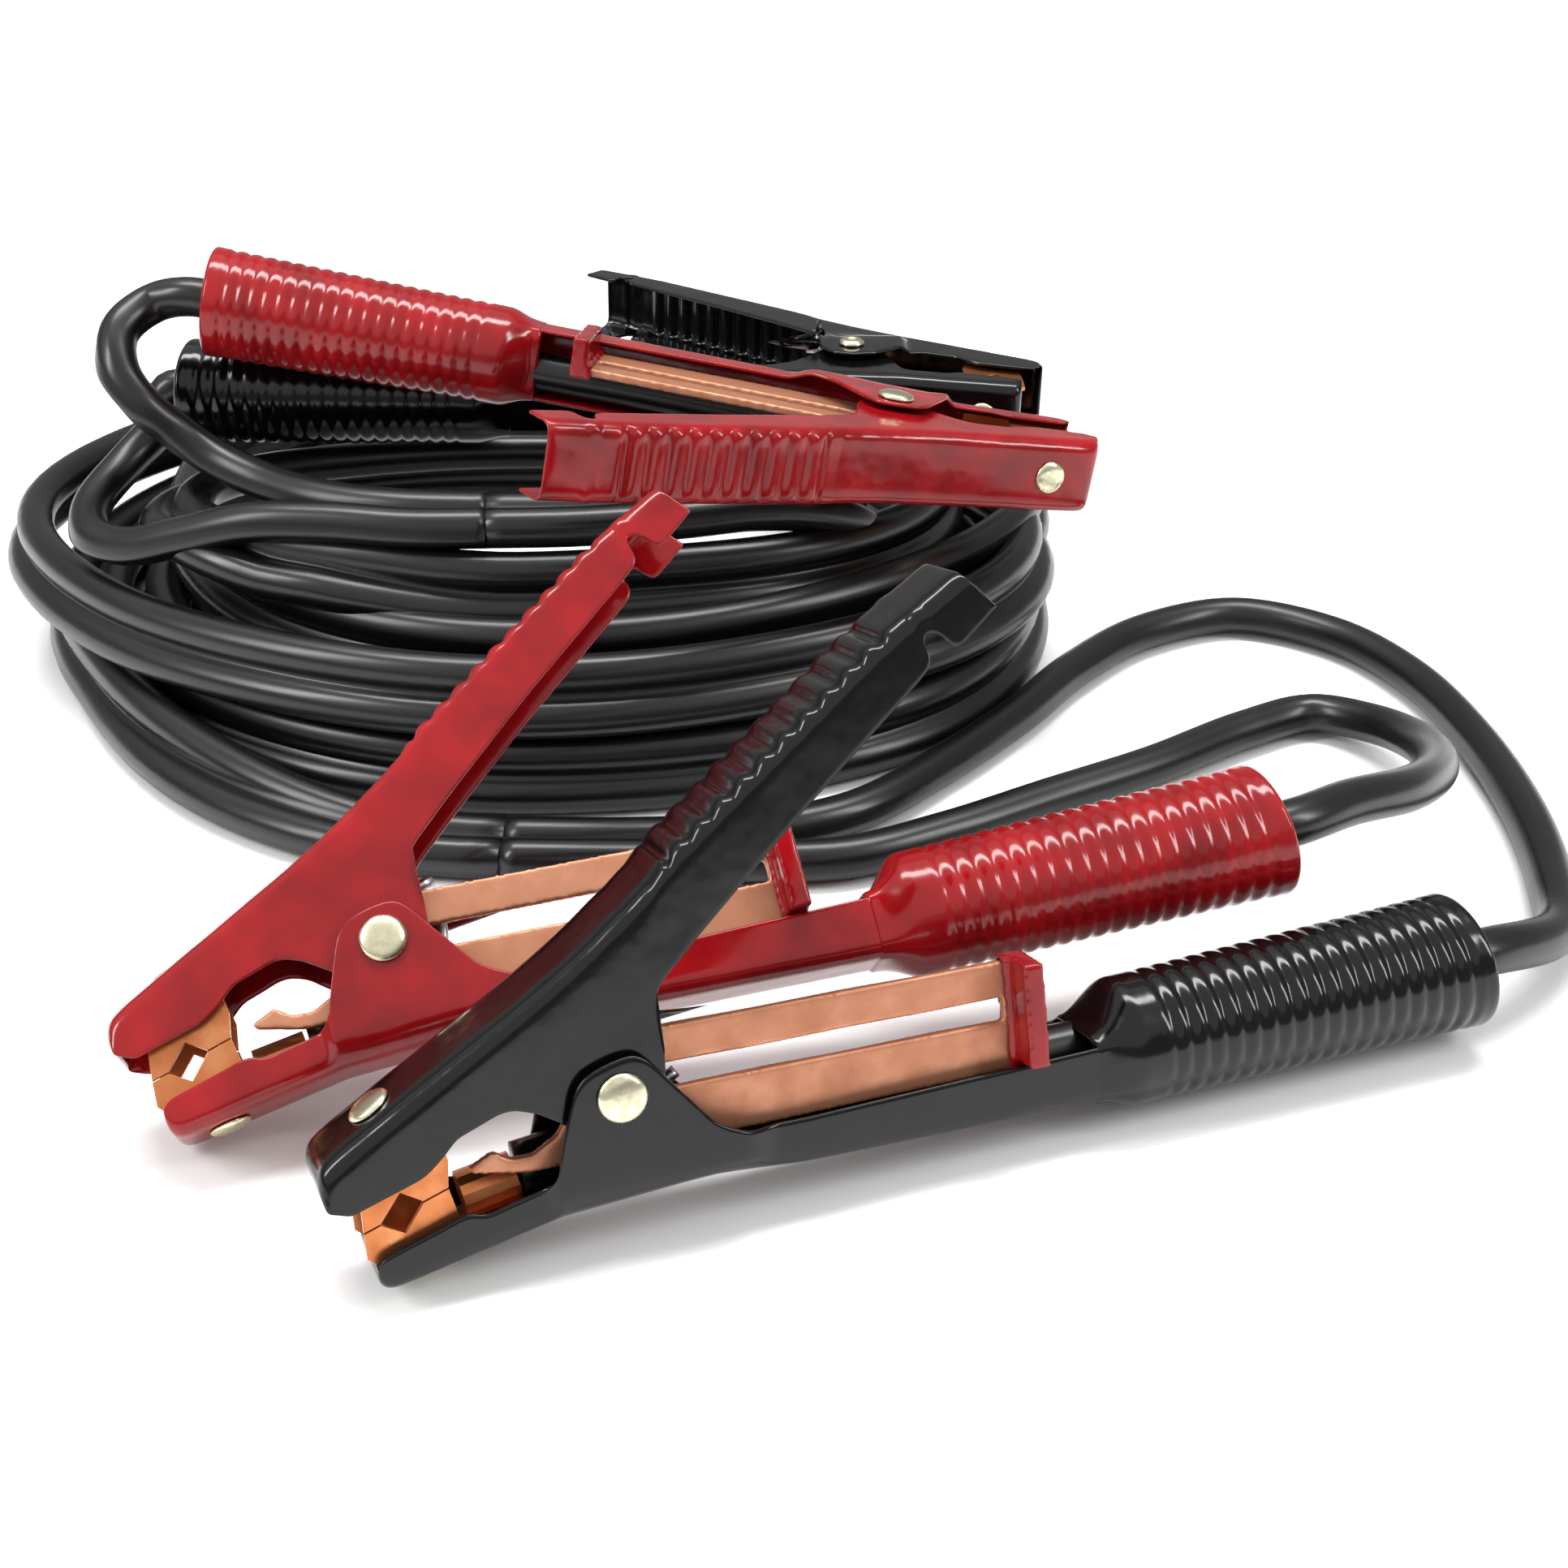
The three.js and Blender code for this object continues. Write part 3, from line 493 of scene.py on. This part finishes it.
# %% [markdown]
# The levers are pressed steel channels dipped in soft vinyl, which rounds every edge and
# makes it glossy. A channel is a strip: down one wall, round the back, down the other wall.
# Each row of the strip is drawn between a point on the back and a point on the rim, and the
# rows follow the lever's outline, so the nose, the ears and the notches keep their edges.
# %% Lever channels
HALF_WIDTH = 9.4
SHEET = 2.0
CORNER = 3.0
# How far a lever's outer ear stands out, so that the other lever's ear fits inside it
EAR_STEP = 2.3
# Back x, back y, rim x, rim y in the clamp's frame, from the nose to the end of the handle
UPPER_PAIRS = [
    (-52.3, -9.3, -51.6, -9.8), (-53, -6.5, -50.4, -10.3), (-53, -4, -49, -10.9),
    (-52, -2.2, -48.2, -11.1), (-48.8, 0, -45.5, -10.3), (-42, 3.8, -38.5, -8.3),
    (-38, 6.1, -35.2, -7.3), (-34.5, 8, -31.6, -4.6), (-31.5, 9.6, -29, -1.8),
    (-26, 12.7, -24.5, -0.3), (-22, 14.9, -21, 1), (-19, 16.5, -18.5, 1), (-14.5, 19, -15, -0.4),
    (-9.5, 22, -10.4, -3.6), (-5.5, 24.5, -5.6, -7.2), (-1, 27.5, 0, -8.6), (3, 30.5, 5.2, -7),
    (6, 32.5, 8.6, -2.2), (8.5, 34.5, 9.1, 4.4), (10, 35.6, 8.6, 11), (12, 37.5, 9, 16.9),
    (14.5, 40.5, 19, 26), (25, 48.2, 28.7, 34.3), (34, 54.8, 38.5, 42.7), (45, 62.9, 50, 51.9),
    (55, 70.2, 60.5, 60.3), (58.5, 72.3, 64.5, 63.6), (60, 73.2, 65.6, 64.8),
    (61.2, 73.9, 65.8, 66.6), (62.5, 74.6, 64.6, 69.2), (63.5, 75.3, 65, 71),
    (64.8, 76, 67.4, 70.9), (66.2, 76.8, 69.4, 69), (68, 77.8, 71, 66.9), (70, 79, 74.5, 69.6),
    (72, 80.2, 78, 72.4), (73.2, 80.6, 79.4, 73.6)]
LOWER_PAIRS = [
    (-45.5, -22, -45.3, -21.4), (-45.8, -24, -44.6, -20.2), (-45, -26.2, -43.5, -19.8),
    (-43.5, -27, -41, -19), (-36, -25.7, -34.5, -17.2), (-30, -24.6, -29.5, -15.6),
    (-28, -24.2, -28, -15.3), (-26.4, -24, -26.4, -16.8), (-20, -22.8, -20, -15.4),
    (-15, -21.95, -15, -14.4), (-13.2, -21.6, -13.2, -12.8), (-12.3, -21.45, -12, -8.8),
    (-10.5, -21.35, -10.2, -3), (-8.3, -21.3, -8.1, 3), (-6.2, -21.2, -6.2, 5.2),
    (-1, -21, -1, 6.8), (3.2, -20.8, 3.2, 7.3), (5.2, -20.7, 5.2, 6), (10, -20.5, 10, -0.5),
    (16.3, -20.4, 16.3, -8.9), (20, -20.8, 20, -11), (23, -21.2, 23, -12.4),
    (33, -22.4, 33, -12.9), (60, -23.6, 60, -13), (98, -25.2, 98, -13.2), (102, -25.3, 102, -13.3)]
RIM = 0.9
WALL_STEPS = 7
CORNER_STEPS = 3
RIB_PITCH = 5.3
RIB_DEPTH = 1.1
# The hand lever has the finer outline, so its rows stand closer
UPPER_SPACING, LOWER_SPACING = 1.1, 1.4


def between(pairs, spacing):
    """Rows interpolated so that none is further than spacing from the next, with soft corners."""
    rows = [pairs[0]]
    for a, b in zip(pairs, pairs[1:]):
        far = max(math.dist(a[:2], b[:2]), math.dist(a[2:], b[2:]))
        count = max(1, round(far / spacing))
        rows += [tuple(mix(p, q, k / count) for p, q in zip(a, b)) for k in range(1, count + 1)]
    for _ in range(2):
        rows = [rows[0]] + [tuple((p + 2 * q + r) / 4 for p, q, r in zip(*three))
                            for three in zip(rows, rows[1:], rows[2:])] + [rows[-1]]
    return rows


def strip_row(pair, step_out, rib):
    """A row of the strip: up one wall, round the corners and the back, down the other wall."""
    back, rim = Vector(pair[:2]), Vector(pair[2:])
    span = (back - rim).length
    toward = (back - rim) / max(span, 1e-6)
    corner = min(CORNER, span * 0.45)
    wall = max(span - corner, 0.01)
    first = min(RIM, wall * 0.3)
    stations = [0] + [mix(first, wall, k / WALL_STEPS) for k in range(WALL_STEPS + 1)]
    half = [(*(rim + toward * s), HALF_WIDTH) for s in stations]
    for k in range(1, CORNER_STEPS + 1):
        turn = math.pi / 2 * k / CORNER_STEPS
        p = rim + toward * (wall + corner * math.sin(turn))
        half.append((p.x, p.y, HALF_WIDTH - corner * (1 - math.cos(turn))))
    half += [(back.x, back.y, (HALF_WIDTH - corner) * share) for share in (0.62, 0.3)]
    row = [Vector((x, y, z + step_out(x, y, 1))) for x, y, z in half]
    row.append(Vector((back.x, back.y, 0)))
    row += [Vector((x, y, -z - step_out(x, y, -1))) for x, y, z in reversed(half)]
    # A rib sinks the back and its corners, and leaves the walls as they are
    sunk = Vector((toward.x, toward.y, 0)) * rib
    walls = len(stations)
    for k in range(walls, len(row) - walls):
        row[k] = row[k] - sunk * ease((HALF_WIDTH + 0.3 - abs(row[k].z)) / 2.4)
    return row


def upper_step(x, y, side):
    """The hand lever's ear stands out on the side away from the pivot's domed head."""
    if side > 0:
        return 0
    return EAR_STEP * ease((14 - y) / 4.5) * ease((x + 17) / 3.5) * ease((12 - x) / 3)


def lower_step(x, y, side):
    """The cable lever's ear stands out on the side of the domed head."""
    if side < 0:
        return 0
    return EAR_STEP * ease((y + 21) / 4.5) * ease((x + 15.5) / 3) * ease((29 - x) / 8)


def upper_rib(x, y):
    """Scalloped ribs across the back of the handle, for grip."""
    along = math.hypot(x - 12, y - 38)
    fade = ease((x - 9) / 6) * ease((61 - x) / 4)
    return RIB_DEPTH * fade * (0.5 - 0.5 * math.cos(2 * math.pi * along / RIB_PITCH)) ** 2.5


def channel(name, pairs, spacing, step_out, rib):
    """A lever's strip with its sheet's thickness, as one plain mesh in the clamp's frame."""
    bm = bmesh.new()
    rows = [strip_row(pair, step_out, rib(pair[0], pair[1])) for pair in between(pairs, spacing)]
    skin(bm, rows, False)
    bmesh.ops.recalc_face_normals(bm, faces=bm.faces)
    # The middle of the back faces away from the rim
    centre = rows[len(rows) // 2]
    outward = (centre[len(centre) // 2] - centre[0]).normalized()
    near = min(bm.faces, key=lambda f: (f.calc_center_median() - centre[len(centre) // 2]).length)
    near.normal_update()
    if near.normal.dot(outward) < 0:
        bmesh.ops.reverse_faces(bm, faces=bm.faces)
    piece = add_object(name, bm)
    wall = piece.modifiers.new("wall", "SOLIDIFY")
    wall.thickness = SHEET
    wall.offset = -1
    wall.use_even_offset = True
    wall.thickness_clamp = 0.9
    soft = piece.modifiers.new("soft", "SUBSURF")
    soft.levels = soft.render_levels = 1
    return finished(piece)


upper_lever = channel("hand_lever", UPPER_PAIRS, UPPER_SPACING, upper_step, upper_rib)
lower_channel = channel("cable_lever", LOWER_PAIRS, LOWER_SPACING, lower_step, lambda x, y: 0)
print("lever faces:", len(upper_lever.data.polygons), len(lower_channel.data.polygons))

# %% [markdown]
# The cable lever's rear is rolled into a tube round the cable and dipped with the rest. Its
# vinyl has rings about 3.7 mm apart for grip, and it ends in a slightly flared, slanted mouth.
# %% Ribbed grip
GRIP_FROM, GRIP_TO = 93, 180
AXIS = -16.8
START_RADIUS, MOUTH_RADIUS = 12.6, 14.1
RING_PITCH = 3.7
RING_DEPTH = 0.42
RING_STEPS = 7
AROUND = 48
# The rolled rim of the mouth and the bore behind it, as pairs of place and radius
MOUTH = [(GRIP_TO - 1.1, 14.1), (GRIP_TO - 0.5, 13.9), (GRIP_TO, 13.2), (GRIP_TO + 0.1, 12.6),
         (GRIP_TO - 0.5, 12.1), (GRIP_TO - 6, 11.9), (GRIP_TO - 24, 11.6)]
MOUTH_SLANT = 1.6


def grip_ring(x, radius, closing):
    """A ring of points. closing goes from 0, the channel's outline, to 1, a round tube."""
    ring = []
    for k in range(AROUND):
        turn = 2 * math.pi * k / AROUND
        y, z = math.sin(turn), math.cos(turn)
        box_y = max(min(y * 1.25, 1), -1) * (8.6 if y < 0 else 5.2)
        box_z = max(min(z * 1.2, 1), -1) * 9.6
        slant = MOUTH_SLANT * y * ease((x - GRIP_TO + 20) / 20)
        ring.append(Vector((x - slant, AXIS + mix(box_y, y * radius, closing),
                            mix(box_z, z * radius, closing))))
    return ring


def grip_rows():
    rows = []
    x = GRIP_FROM
    while x < GRIP_TO - 1.4:
        radius = mix(START_RADIUS, MOUTH_RADIUS, (x - GRIP_FROM) / (GRIP_TO - GRIP_FROM))
        ribbed = ease((x - GRIP_FROM - 11) / 5) * ease((GRIP_TO - 2 - x) / 3)
        wave = 0.5 - 0.5 * math.cos(2 * math.pi * (x - GRIP_FROM) / RING_PITCH)
        radius -= RING_DEPTH * ribbed * (1 - wave) ** 1.5
        rows.append(grip_ring(x, radius, ease((x - GRIP_FROM) / 9)))
        x += RING_PITCH / RING_STEPS
    return rows + [grip_ring(x, radius, 1) for x, radius in MOUTH]


bm = bmesh.new()
rows = grip_rows()
skin(bm, rows, True)
# The front edge turns inwards and runs back inside, as a smaller copy of the first ring
INSIDE = [(GRIP_FROM - 0.8, 0.93), (GRIP_FROM - 0.3, 0.84), (GRIP_FROM + 3, 0.8),
          (GRIP_FROM + 22, 0.86)]
inner = [[Vector((x, AXIS + (p.y - AXIS) * k, p.z * k)) for p in rows[0]] for x, k in INSIDE]
skin(bm, [rows[0]] + inner, True)
bmesh.ops.remove_doubles(bm, verts=bm.verts, dist=0.0005)
bmesh.ops.recalc_face_normals(bm, faces=bm.faces)
grip = add_object("grip", bm)
top = min(grip.data.polygons, key=lambda f: (f.center - Vector((140, AXIS + 13, 0))).length)
print("grip faces:", len(grip.data.polygons), "and its top face points up:", top.normal.y > 0)
if top.normal.y < 0:
    grip.data.flip_normals()


def joined(name, pieces):
    """One piece with the meshes of several, which are removed."""
    bm = bmesh.new()
    for piece in pieces:
        bm.from_mesh(piece.data)
    for piece in pieces:
        bpy.data.objects.remove(piece)
    return add_object(name, bm)


cable_lever = joined("cable_lever_and_grip", [lower_channel, grip])

# %% [markdown]
# Dipped vinyl (plastisol) is glossy and slightly uneven where it ran before it gelled. Waves
# about 12 mm long bend the reflections, and the red is a little darker where it lies thick.
# %% Dipped vinyl, red and black
def dipped_vinyl(name, thin, thick):
    material, tree, shader = new_material(name)
    place = node(tree, "ShaderNodeTexCoord").outputs["Object"]
    runs = node(tree, "ShaderNodeTexNoise", None, Vector=place, Scale=85, Detail=2)
    colour = ramp(tree, runs.outputs["Fac"], [(0.3, thick), (0.7, thin)])
    tree.links.new(colour, shader.inputs["Base Color"])
    # Handling marks of about 2 mm dull the gloss here and there
    marks = node(tree, "ShaderNodeTexNoise", None, Vector=place, Scale=480, Detail=4)
    gloss = ramp(tree, marks.outputs["Fac"], [(0.35, grey(0.12)), (0.75, grey(0.2))])
    tree.links.new(gloss, shader.inputs["Roughness"])
    bump = node(tree, "ShaderNodeBump", None, Height=runs.outputs["Fac"], Strength=0.5,
                Distance=0.0005)
    tree.links.new(bump.outputs[0], shader.inputs["Normal"])
    shader.inputs["IOR"].default_value = 1.52
    shader.inputs["Specular IOR Level"].default_value = 0.36
    return material


red_vinyl = dipped_vinyl("dipped_red_vinyl", 0x930F15, 0x730A0F)
black_vinyl = dipped_vinyl("dipped_black_vinyl", 0x08090A, 0x050506)
print("vinyl finishes:", red_vinyl.name, "and", black_vinyl.name)

# %% [markdown]
# The copper parts are stamped from rolled strip. It has a satin face with faint rolling lines
# and a patchy tarnish. Zinc plate on the rivets is yellowish and soft, and the spring is
# drawn wire.
# %% Metals
def rolled_copper(name, colours, metallic, rough):
    material, tree, shader = new_material(name)
    place = node(tree, "ShaderNodeTexCoord").outputs["Object"]
    patches = node(tree, "ShaderNodeTexNoise", None, Vector=place, Scale=170, Detail=5)
    colour = ramp(tree, patches.outputs["Fac"], list(zip((0.25, 0.5, 0.78), colours)))
    tree.links.new(colour, shader.inputs["Base Color"])
    gloss = ramp(tree, patches.outputs["Fac"], [(0.3, grey(rough + 0.14)), (0.75, grey(rough))])
    tree.links.new(gloss, shader.inputs["Roughness"])
    shader.inputs["Metallic"].default_value = metallic
    # Rolling grain about 0.6 mm wide
    grain = node(tree, "ShaderNodeTexNoise", None, Vector=place, Scale=1500, Detail=3)
    bump = node(tree, "ShaderNodeBump", None, Height=grain.outputs["Fac"], Strength=0.25,
                Distance=0.0001)
    tree.links.new(bump.outputs[0], shader.inputs["Normal"])
    return material


def bright_metal(name, dark, light, rough):
    material, tree, shader = new_material(name)
    place = node(tree, "ShaderNodeTexCoord").outputs["Object"]
    patches = node(tree, "ShaderNodeTexNoise", None, Vector=place, Scale=600, Detail=4)
    colour = ramp(tree, patches.outputs["Fac"], [(0.3, dark), (0.7, light)])
    tree.links.new(colour, shader.inputs["Base Color"])
    gloss = ramp(tree, patches.outputs["Fac"], [(0.3, grey(rough + 0.12)), (0.7, grey(rough))])
    tree.links.new(gloss, shader.inputs["Roughness"])
    shader.inputs["Metallic"].default_value = 1
    bump = node(tree, "ShaderNodeBump", None, Height=patches.outputs["Fac"], Strength=0.3,
                Distance=0.0001)
    tree.links.new(bump.outputs[0], shader.inputs["Normal"])
    return material


# The long blades are paler and duller than the pressed contacts in the jaws
copper = rolled_copper("rolled_copper_strip", (0xAE7458, 0xBC8062, 0xC98E71), 0.7, 0.38)
bright_copper = rolled_copper("pressed_bright_copper", (0xB4683C, 0xC87B4C, 0xDA9262), 0.9, 0.24)
zinc = bright_metal("yellow_zinc_plate", 0xC6C0A0, 0xE6E1C4, 0.22)
wire = bright_metal("drawn_spring_wire", 0x9A9B9C, 0xC4C5C6, 0.25)
print("metal finishes:", [metal.name for metal in (copper, bright_copper, zinc, wire)])

# %% [markdown]
# The contacts, the blade and its coated tab start from the CAD's own meshes, because those
# shapes are right. A contact's sharp edges are bevelled, as shearing and tumbling leave them.
# The blade and the tab get an even net of small faces that is then relaxed, which rounds
# every edge. The rivets are turned from their half outlines.
# %% Small pieces
EDGE_WIDTH = 0.25
SHARP = math.radians(30)
NET = 0.5
BLADE_ROUNDS, TAB_ROUNDS = 2, 10


def merged_copy(source):
    """A CAD node's mesh with its loose triangles merged."""
    bm = bmesh.new()
    bm.from_mesh(frame["nodes"][source].data)
    bmesh.ops.remove_doubles(bm, verts=bm.verts, dist=2e-6)
    return bm


def softened(name, source):
    """A copy of a CAD node's mesh with its sharp edges bevelled."""
    bm = merged_copy(source)
    edges = [e for e in bm.edges if len(e.link_faces) == 2 and e.calc_face_angle(0) > SHARP]
    bmesh.ops.bevel(bm, geom=edges, offset=EDGE_WIDTH * MM, offset_type="OFFSET",
                    affect="EDGES", segments=2, profile=0.5, material=-1, clamp_overlap=True)
    piece = add_object(name, bm)
    for polygon in piece.data.polygons:
        polygon.use_smooth = False
    return piece


def remeshed(name, source, rounds):
    """A copy of a CAD node's mesh as an even net, relaxed in so many rounds."""
    piece = add_object(name, merged_copy(source))
    mesh = piece.modifiers.new("even", "REMESH")
    mesh.mode = "VOXEL"
    mesh.voxel_size = NET * MM
    relax = piece.modifiers.new("relax", "SMOOTH")
    relax.factor = 0.5
    relax.iterations = rounds
    piece = finished(piece)
    for polygon in piece.data.polygons:
        polygon.use_smooth = True
    return piece


def dome(name, profile, steps=32):
    """A turned head: its half outline spun round the local axis, in the clamp's frame."""
    bm = bmesh.new()
    verts = [bm.verts.new((r, 0, h)) for r, h in profile]
    edges = [bm.edges.new(pair) for pair in zip(verts, verts[1:])]
    bmesh.ops.spin(bm, geom=verts + edges, cent=(0, 0, 0), axis=(0, 0, 1), angle=2 * math.pi,
                   steps=steps, use_merge=True)
    bmesh.ops.remove_doubles(bm, verts=bm.verts, dist=0.001)
    bmesh.ops.recalc_face_normals(bm, faces=bm.faces)
    return add_object(name, bm)


def ride_node(piece, node_name, body, material):
    """Gives a piece that is already in its place its finish and body, and hides the CAD node it
    replaces.
    """
    piece.data.materials.clear()
    piece.data.materials.append(material)
    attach(piece, body)
    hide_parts(node_name)


def arc(r0, h0, r1, h1, steps=6):
    """A quarter of a low dome from its edge to its top."""
    turns = [math.pi / 2 * k / steps for k in range(steps + 1)]
    return [(mix(r1, r0, math.cos(t)), mix(h0, h1, math.sin(t))) for t in turns]


# The pivot's two heads lie on the outer ears, so far from the middle
HEAD_AT = 11.85
PIVOT_TAIL = [(0, -0.9), (1.2, -0.9), (1.7, -1.3), (2.6, -1.4), (3.5, -0.5), (3.5, 0), (2, 0)]
pivot = dome("pivot", [(r, h - HEAD_AT) for r, h in PIVOT_TAIL]
             + [(2, HEAD_AT), (4.5, HEAD_AT), (4.6, HEAD_AT + 0.3)]
             + arc(4.5, HEAD_AT + 0.5, 0, HEAD_AT + 1.7))
rivet = dome("small_rivet", [(0, -4.8), (2.0, -4.7), (2.5, -4.2), (2.5, -3.9), (1.6, -3.9),
                             (1.6, 0.15), (4, 0.15), (4.05, 0.4)] + arc(4, 0.5, 0, 1.5))
print("faces of the pivot:", len(pivot.data.polygons), "of a rivet:", len(rivet.data.polygons))


def seat(x, y, away):
    """A matrix that puts the rivet's head on a seat of the lever, in the clamp's frame."""
    turned = Vector((0, 0, 1)).rotation_difference(Vector(away)).to_matrix()
    return Matrix.Translation((x, y, 0)) @ turned.to_4x4()


LOWER_SEAT = seat(-35, -25.49, (0.175, -0.985, 0))
UPPER_SEAT = seat(-41.5, 4.05, (-0.486, 0.874, 0))
for clamp in CLAMPS:
    coat = red_vinyl if clamp.endswith("red") else black_vinyl
    coat_slot = "red_vinyl" if clamp.endswith("red") else "black_vinyl"
    hand, adapter = f"{clamp}_hand_lever", f"{clamp}_adapter"
    put(upper_lever, clamp, hand, coat_slot, coat, "upper_lever")
    put(cable_lever, clamp, "cable_set", coat_slot, coat, "lower_lever")
    put(pivot, clamp, "cable_set", "zinc_steel", zinc, "pivot_rivet")
    for where, body, matrix in (("lower", "cable_set", LOWER_SEAT), ("upper", hand, UPPER_SEAT)):
        placed = rivet.copy()
        placed.data = rivet.data.copy()
        placed.data.transform(matrix)
        placed.name = f"{where}_rivet"
        put(placed, clamp, body, "zinc_steel", zinc, f"{where}_contact_rivet",
            name=f"{clamp}_{where}_rivet")
        bpy.data.objects.remove(placed)
    for where, body in (("lower", "cable_set"), ("upper", hand)):
        contact = softened(f"{clamp}_{where}_jaw_copper", f"{clamp}_{where}_contact")
        ride_node(contact, f"{clamp}_{where}_contact", body, bright_copper)
    blade = remeshed(f"{clamp}_blade", f"{clamp}_adapter_blade", BLADE_ROUNDS)
    ride_node(blade, f"{clamp}_adapter_blade", adapter, copper)
    tab = remeshed(f"{clamp}_thumb_tab", f"{clamp}_adapter_tab", TAB_ROUNDS)
    ride_node(tab, f"{clamp}_adapter_tab", adapter, red_vinyl)
for pattern in (upper_lever, cable_lever, pivot, rivet):
    bpy.data.objects.remove(pattern)

# %% [markdown]
# The torsion spring is drawn wire: nearly two and a half turns round the pivot and two legs,
# one toward each lever. The sweep that drew the cords draws it too.
# %% Torsion spring
WIRE_RADIUS = 1.2
COIL_RADIUS = 8
PIVOT_RADIUS = 2
FIT = 0.3
LEG = 12
# Angles in radians: where the coil leans on the pivot, and where its first leg starts
LEANS_AT = 0.68
LEG_AT = 1.92
WIRE_PITCH = 2.5
TURN_STEPS = 12
COIL_STEPS = 30


def spring_points():
    clear = COIL_RADIUS - WIRE_RADIUS - PIVOT_RADIUS - FIT
    cx, cy = clear * math.cos(LEANS_AT), clear * math.sin(LEANS_AT)
    z = FIT + WIRE_RADIUS - (HALF_WIDTH - SHEET)
    points = [(cx + COIL_RADIUS * math.cos(LEG_AT) + LEG * math.sin(LEG_AT),
               cy + COIL_RADIUS * math.sin(LEG_AT) - LEG * math.cos(LEG_AT) - 1, z)]
    for k in range(COIL_STEPS):
        turn = LEG_AT + 2 * math.pi * k / TURN_STEPS
        points.append((cx + COIL_RADIUS * math.cos(turn), cy + COIL_RADIUS * math.sin(turn),
                       z + WIRE_PITCH * k / TURN_STEPS))
    x, y, z = points[-1]
    return [Vector(p) for p in points + [(x + 6, y + 0.5, z), (x + 11, y + 3, z)]]


turns = [2 * math.pi * k / 12 for k in range(12)]
outline = [(WIRE_RADIUS * math.cos(t), WIRE_RADIUS * math.sin(t)) for t in turns]
for clamp in CLAMPS:
    line = [FRAMES[clamp] @ p for p in smooth_line(spring_points(), 4)]
    out = FRAMES[clamp].to_3x3() @ Vector((0, 0, 1))
    spring = sweep(f"{clamp}_torsion_spring", line, outline, [out.normalized()] * len(line), wire)
    ride_node(spring, f"{clamp}_spring", "cable_set", wire)
print("each spring takes", round(line_length(line), 3), "m of wire")

# %% [markdown]
# A plain pale floor and soft lights: a long narrow panel overhead and one tall narrow panel
# on each side. Their long reflections are what shows the gloss of vinyl and jacket.
# %% Floor and lights
bm = bmesh.new()
bmesh.ops.create_grid(bm, x_segments=1, y_segments=1, size=6)
floor = add_object("floor", bm)
paper, tree, shader = new_material("white_paper_floor")
place = node(tree, "ShaderNodeTexCoord").outputs["Object"]
fibre = node(tree, "ShaderNodeTexNoise", None, Vector=place, Scale=40, Detail=3)
white = ramp(tree, fibre.outputs["Fac"], [(0.3, 0xF4F4F3), (0.7, 0xF8F8F8)])
tree.links.new(white, shader.inputs["Base Color"])
shader.inputs["Roughness"].default_value = 0.9
floor.data.materials.append(paper)
# A hair below the cords, so that no faces share a plane
floor.location.z = -0.0002


def softbox(name, place, target, size, power):
    light = bpy.data.lights.new(name, "AREA")
    light.shape = "RECTANGLE"
    light.size, light.size_y = size
    light.energy = power
    lamp = bpy.data.objects.new(name, light)
    lamp.location = place
    lamp.rotation_euler = (Vector(target) - Vector(place)).to_track_quat("-Z", "Y").to_euler()
    bpy.context.scene.collection.objects.link(lamp)
    return lamp


softbox("panel_above", (0, 0.3, 1.5), (0, 0, 0), (1.5, 0.3), 26)
softbox("panel_left", (-1.2, -0.5, 1.0), (0, 0, 0), (0.25, 0.8), 12)
softbox("panel_right", (1.2, -0.4, 0.9), (0, 0, 0), (0.2, 0.8), 9)
# A very soft sun keeps the paper white out to the horizon
overcast = bpy.data.lights.new("overcast", "SUN")
overcast.energy = 1.5
overcast.angle = math.radians(120)
sun = bpy.data.objects.new("overcast", overcast)
sun.rotation_euler = (math.radians(15), math.radians(-10), 0)
bpy.context.scene.collection.objects.link(sun)
world = bpy.data.worlds.new("studio")
world.use_nodes = True
world.node_tree.nodes["Background"].inputs["Color"].default_value = (1, 1, 1, 1)
world.node_tree.nodes["Background"].inputs["Strength"].default_value = 0.32
bpy.context.scene.world = world
bpy.context.scene.view_settings.view_transform = "Standard"
bpy.context.scene.view_settings.look = "None"
